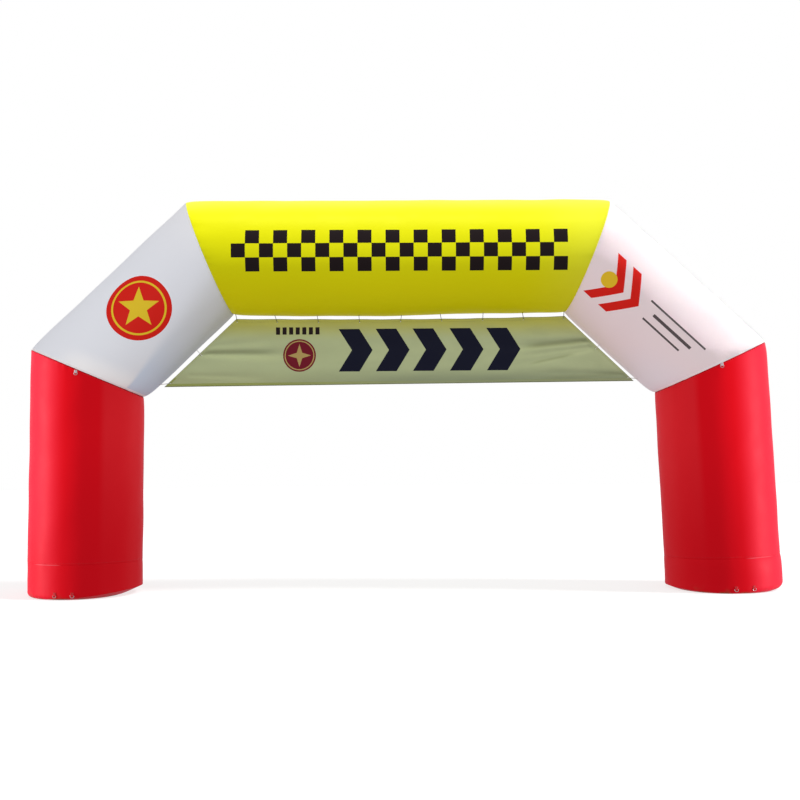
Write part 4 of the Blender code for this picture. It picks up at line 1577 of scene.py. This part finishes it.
# Soft distant lights: the starts of the names of the pieces that each falls on, where it
# comes from, its strength on a surface that faces it, its angular size and any tint.
LIGHTS = (
    ("key", ("shoulder_right", "banner", "tie_", "floor"), (0.672, -0.166, 0.721), 3.30, 9.0),
    ("top", ("crossbar",), (0.0, -0.32, 0.947), 1.96, 9.0),
    ("left", LEFT_LEG, (-0.979, -0.205, 0.02), 2.43, 9.0),
    ("left_bounce", LEFT_LEG, (0.906, 0.423, 0.0), 0.30, 30.0),
    ("right", RIGHT_LEG, (0.962, -0.272, 0.03), 2.34, 9.0),
    ("right_bounce", RIGHT_LEG, (-0.906, 0.423, 0.0), 0.30, 30.0),
    ("shoulder", ("shoulder_left",), (-0.05, -0.985, 0.16), 0.73, 20.0),
    ("under", ("shoulder_right",), (-0.53, -0.64, -0.55), 0.66, 30.0, WARM_LIGHT),
    ("banner", ("banner",), (0.15, -0.55, 0.82), 1.40, 12.0),
)


def add_light(name, lit, came_from, strength, angle, tint=WHITE_LIGHT):
    """Add a distant soft light that falls only on the pieces whose names start so."""
    data = bpy.data.lights.new(name, "SUN")
    data.energy = strength
    data.angle = math.radians(angle)
    data.color = tint
    light = link_new(name, data)
    light.rotation_mode = "QUATERNION"
    light.rotation_quaternion = Vector(came_from).to_track_quat("Z", "Y")
    receivers = bpy.data.collections.new(name + "_falls_on")
    for piece in bpy.data.objects:
        if piece.type == "MESH" and piece.name.startswith(lit):
            receivers.objects.link(piece)
    light.light_linking.receiver_collection = receivers
    if name in SELF_SHADOWED:
        light.light_linking.blocker_collection = receivers


def add_stage_piece(name, shape, colour, glow):
    """Add a floor or backdrop that the camera sees and that throws no light on the arch."""
    mesh = mesh_from(name, shape)
    piece = link_new(name, mesh)
    paint = bpy.data.materials.new(name)
    paint.use_nodes = True
    feed(paint.node_tree, paint.node_tree.nodes["Principled BSDF"], {
        "Base Color": (colour, colour, colour, 1.0), "Roughness": 1.0, "Specular IOR Level": 0.0,
        "Emission Color": (1.0, 1.0, 1.0, 1.0), "Emission Strength": glow})
    mesh.materials.append(paint)
    piece.visible_diffuse = False
    piece.visible_glossy = False
    piece.visible_transmission = False
    piece.visible_shadow = False


def build_stage():
    """Make the pale floor, the white backdrop and the soft studio lights."""
    shape = bmesh.new()
    bmesh.ops.create_circle(shape, cap_ends=True, segments=96, radius=STAGE_RADIUS)
    add_stage_piece("floor", shape, FLOOR_ALBEDO, FLOOR_GLOW)
    shape = bmesh.new()
    bmesh.ops.create_icosphere(shape, subdivisions=4, radius=STAGE_RADIUS)
    add_stage_piece("backdrop", shape, 0.0, 1.0)

    world = bpy.data.worlds.new("studio")
    world.use_nodes = True
    tree = world.node_tree
    sky = tree.nodes.new("ShaderNodeTexCoord")
    parts = tree.nodes.new("ShaderNodeSeparateXYZ")
    feed(tree, parts, {0: sky.outputs["Generated"]})
    strength = Value(tree, parts.outputs["Z"]).smooth(-0.35, 0.25)
    strength = strength * (AMBIENT - AMBIENT_FROM_BELOW) + AMBIENT_FROM_BELOW
    feed(tree, tree.nodes["Background"], {"Color": (1.0, 1.0, 1.0, 1.0), "Strength": strength})
    bpy.context.scene.world = world
    bpy.context.scene.view_settings.view_transform = "Standard"

    for light in LIGHTS:
        add_light(*light)


# ---------------------------------------------------------------- the arch

def main():
    """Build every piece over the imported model."""
    make_camera()
    spots = [name.removeprefix("ring_") for name in frame["nodes"] if name.startswith("ring_")]
    mounts = {spot: Mount(spot) for spot in sorted(spots)}

    def calm(kind, side):
        """Return where tabs of a kind are sewn on, on one side."""
        return [mount.bar for spot, mount in mounts.items()
                if spot.startswith(kind) and side in spot]

    knee_left, elbow_left, elbow_right, knee_right = (mitre(*joint) for joint in JOINTS)
    band_left = band("left")
    band_right = band("right")

    red = red_material((knee_left, knee_right), (band_left, band_right))
    yellow = yellow_material()
    left_white = left_shoulder_material(knee_left)
    right_white = right_shoulder_material(knee_right)
    thread = {name: thread_material(name, *shades) for name, shades in THREADS.items()}
    # Each sleeve's seams, size, cloth, slot and thread.
    parts = (
        (Sleeve("leg_left", band_left, knee_left, LEG_RADIUS, calm=calm("guy", "left")),
         red, "red_cloth", "red_thread"),
        (Sleeve("shoulder_left", knee_left, elbow_left, SHOULDER_RADIUS),
         left_white, "white_cloth", "white_thread"),
        (Sleeve("crossbar", elbow_left, elbow_right, CROSSBAR_RADIUS, CROSSBAR_SAG,
                CROSSBAR_BELLY), yellow, "yellow_cloth", "yellow_thread"),
        (Sleeve("shoulder_right", elbow_right, knee_right, SHOULDER_RADIUS),
         right_white, "white_cloth", "white_thread"),
        (Sleeve("leg_right", knee_right, band_right, LEG_RADIUS, calm=calm("guy", "right")),
         red, "red_cloth", "red_thread"),
    )
    for sleeve, cloth, slot, _sewn in parts:
        build_sleeve(sleeve, cloth, slot)
    for side, seam in (("left", band_left), ("right", band_right)):
        build_foot(Foot(side, seam, calm("peg", side)), red)
    for sleeve, _cloth, slot, sewn in parts:
        rows = [stitch_row(sleeve, True), stitch_row(sleeve, False)]
        build_stitches(sleeve.name + "_stitches", rows, thread[sewn], slot)

    arch_middle = np.array((0.0, 0.0, CENTRE_LINE["elbow_left"][1]))
    holes = []
    for node in sorted(frame["nodes"]):
        if node.startswith("tie_top"):
            holes.append(build_tie(node, arch_middle, thread["tie_cord"]))
        elif node.startswith("tie_"):
            knee = point_on("knee_left" if node.endswith("left") else "knee_right")
            holes.append(build_tie(node, knee, thread["pale_cord"]))
    build_banner(banner_material(), holes)

    pale_webbing = webbing_material("webbing", *PALE_WEBBING)
    red_webbing = webbing_material("red_webbing", *RED_WEBBING)
    steel = steel_material()
    for spot, mount in mounts.items():
        guy = spot.startswith("guy")
        build_tab(spot, mount, pale_webbing if guy else red_webbing)
        build_ring(spot, mount, steel)
        build_stitches(f"tab_{spot}_stitches", tab_stitches(mount),
                       thread["white_thread" if guy else "red_thread"], "webbing")
    build_stage()


main()
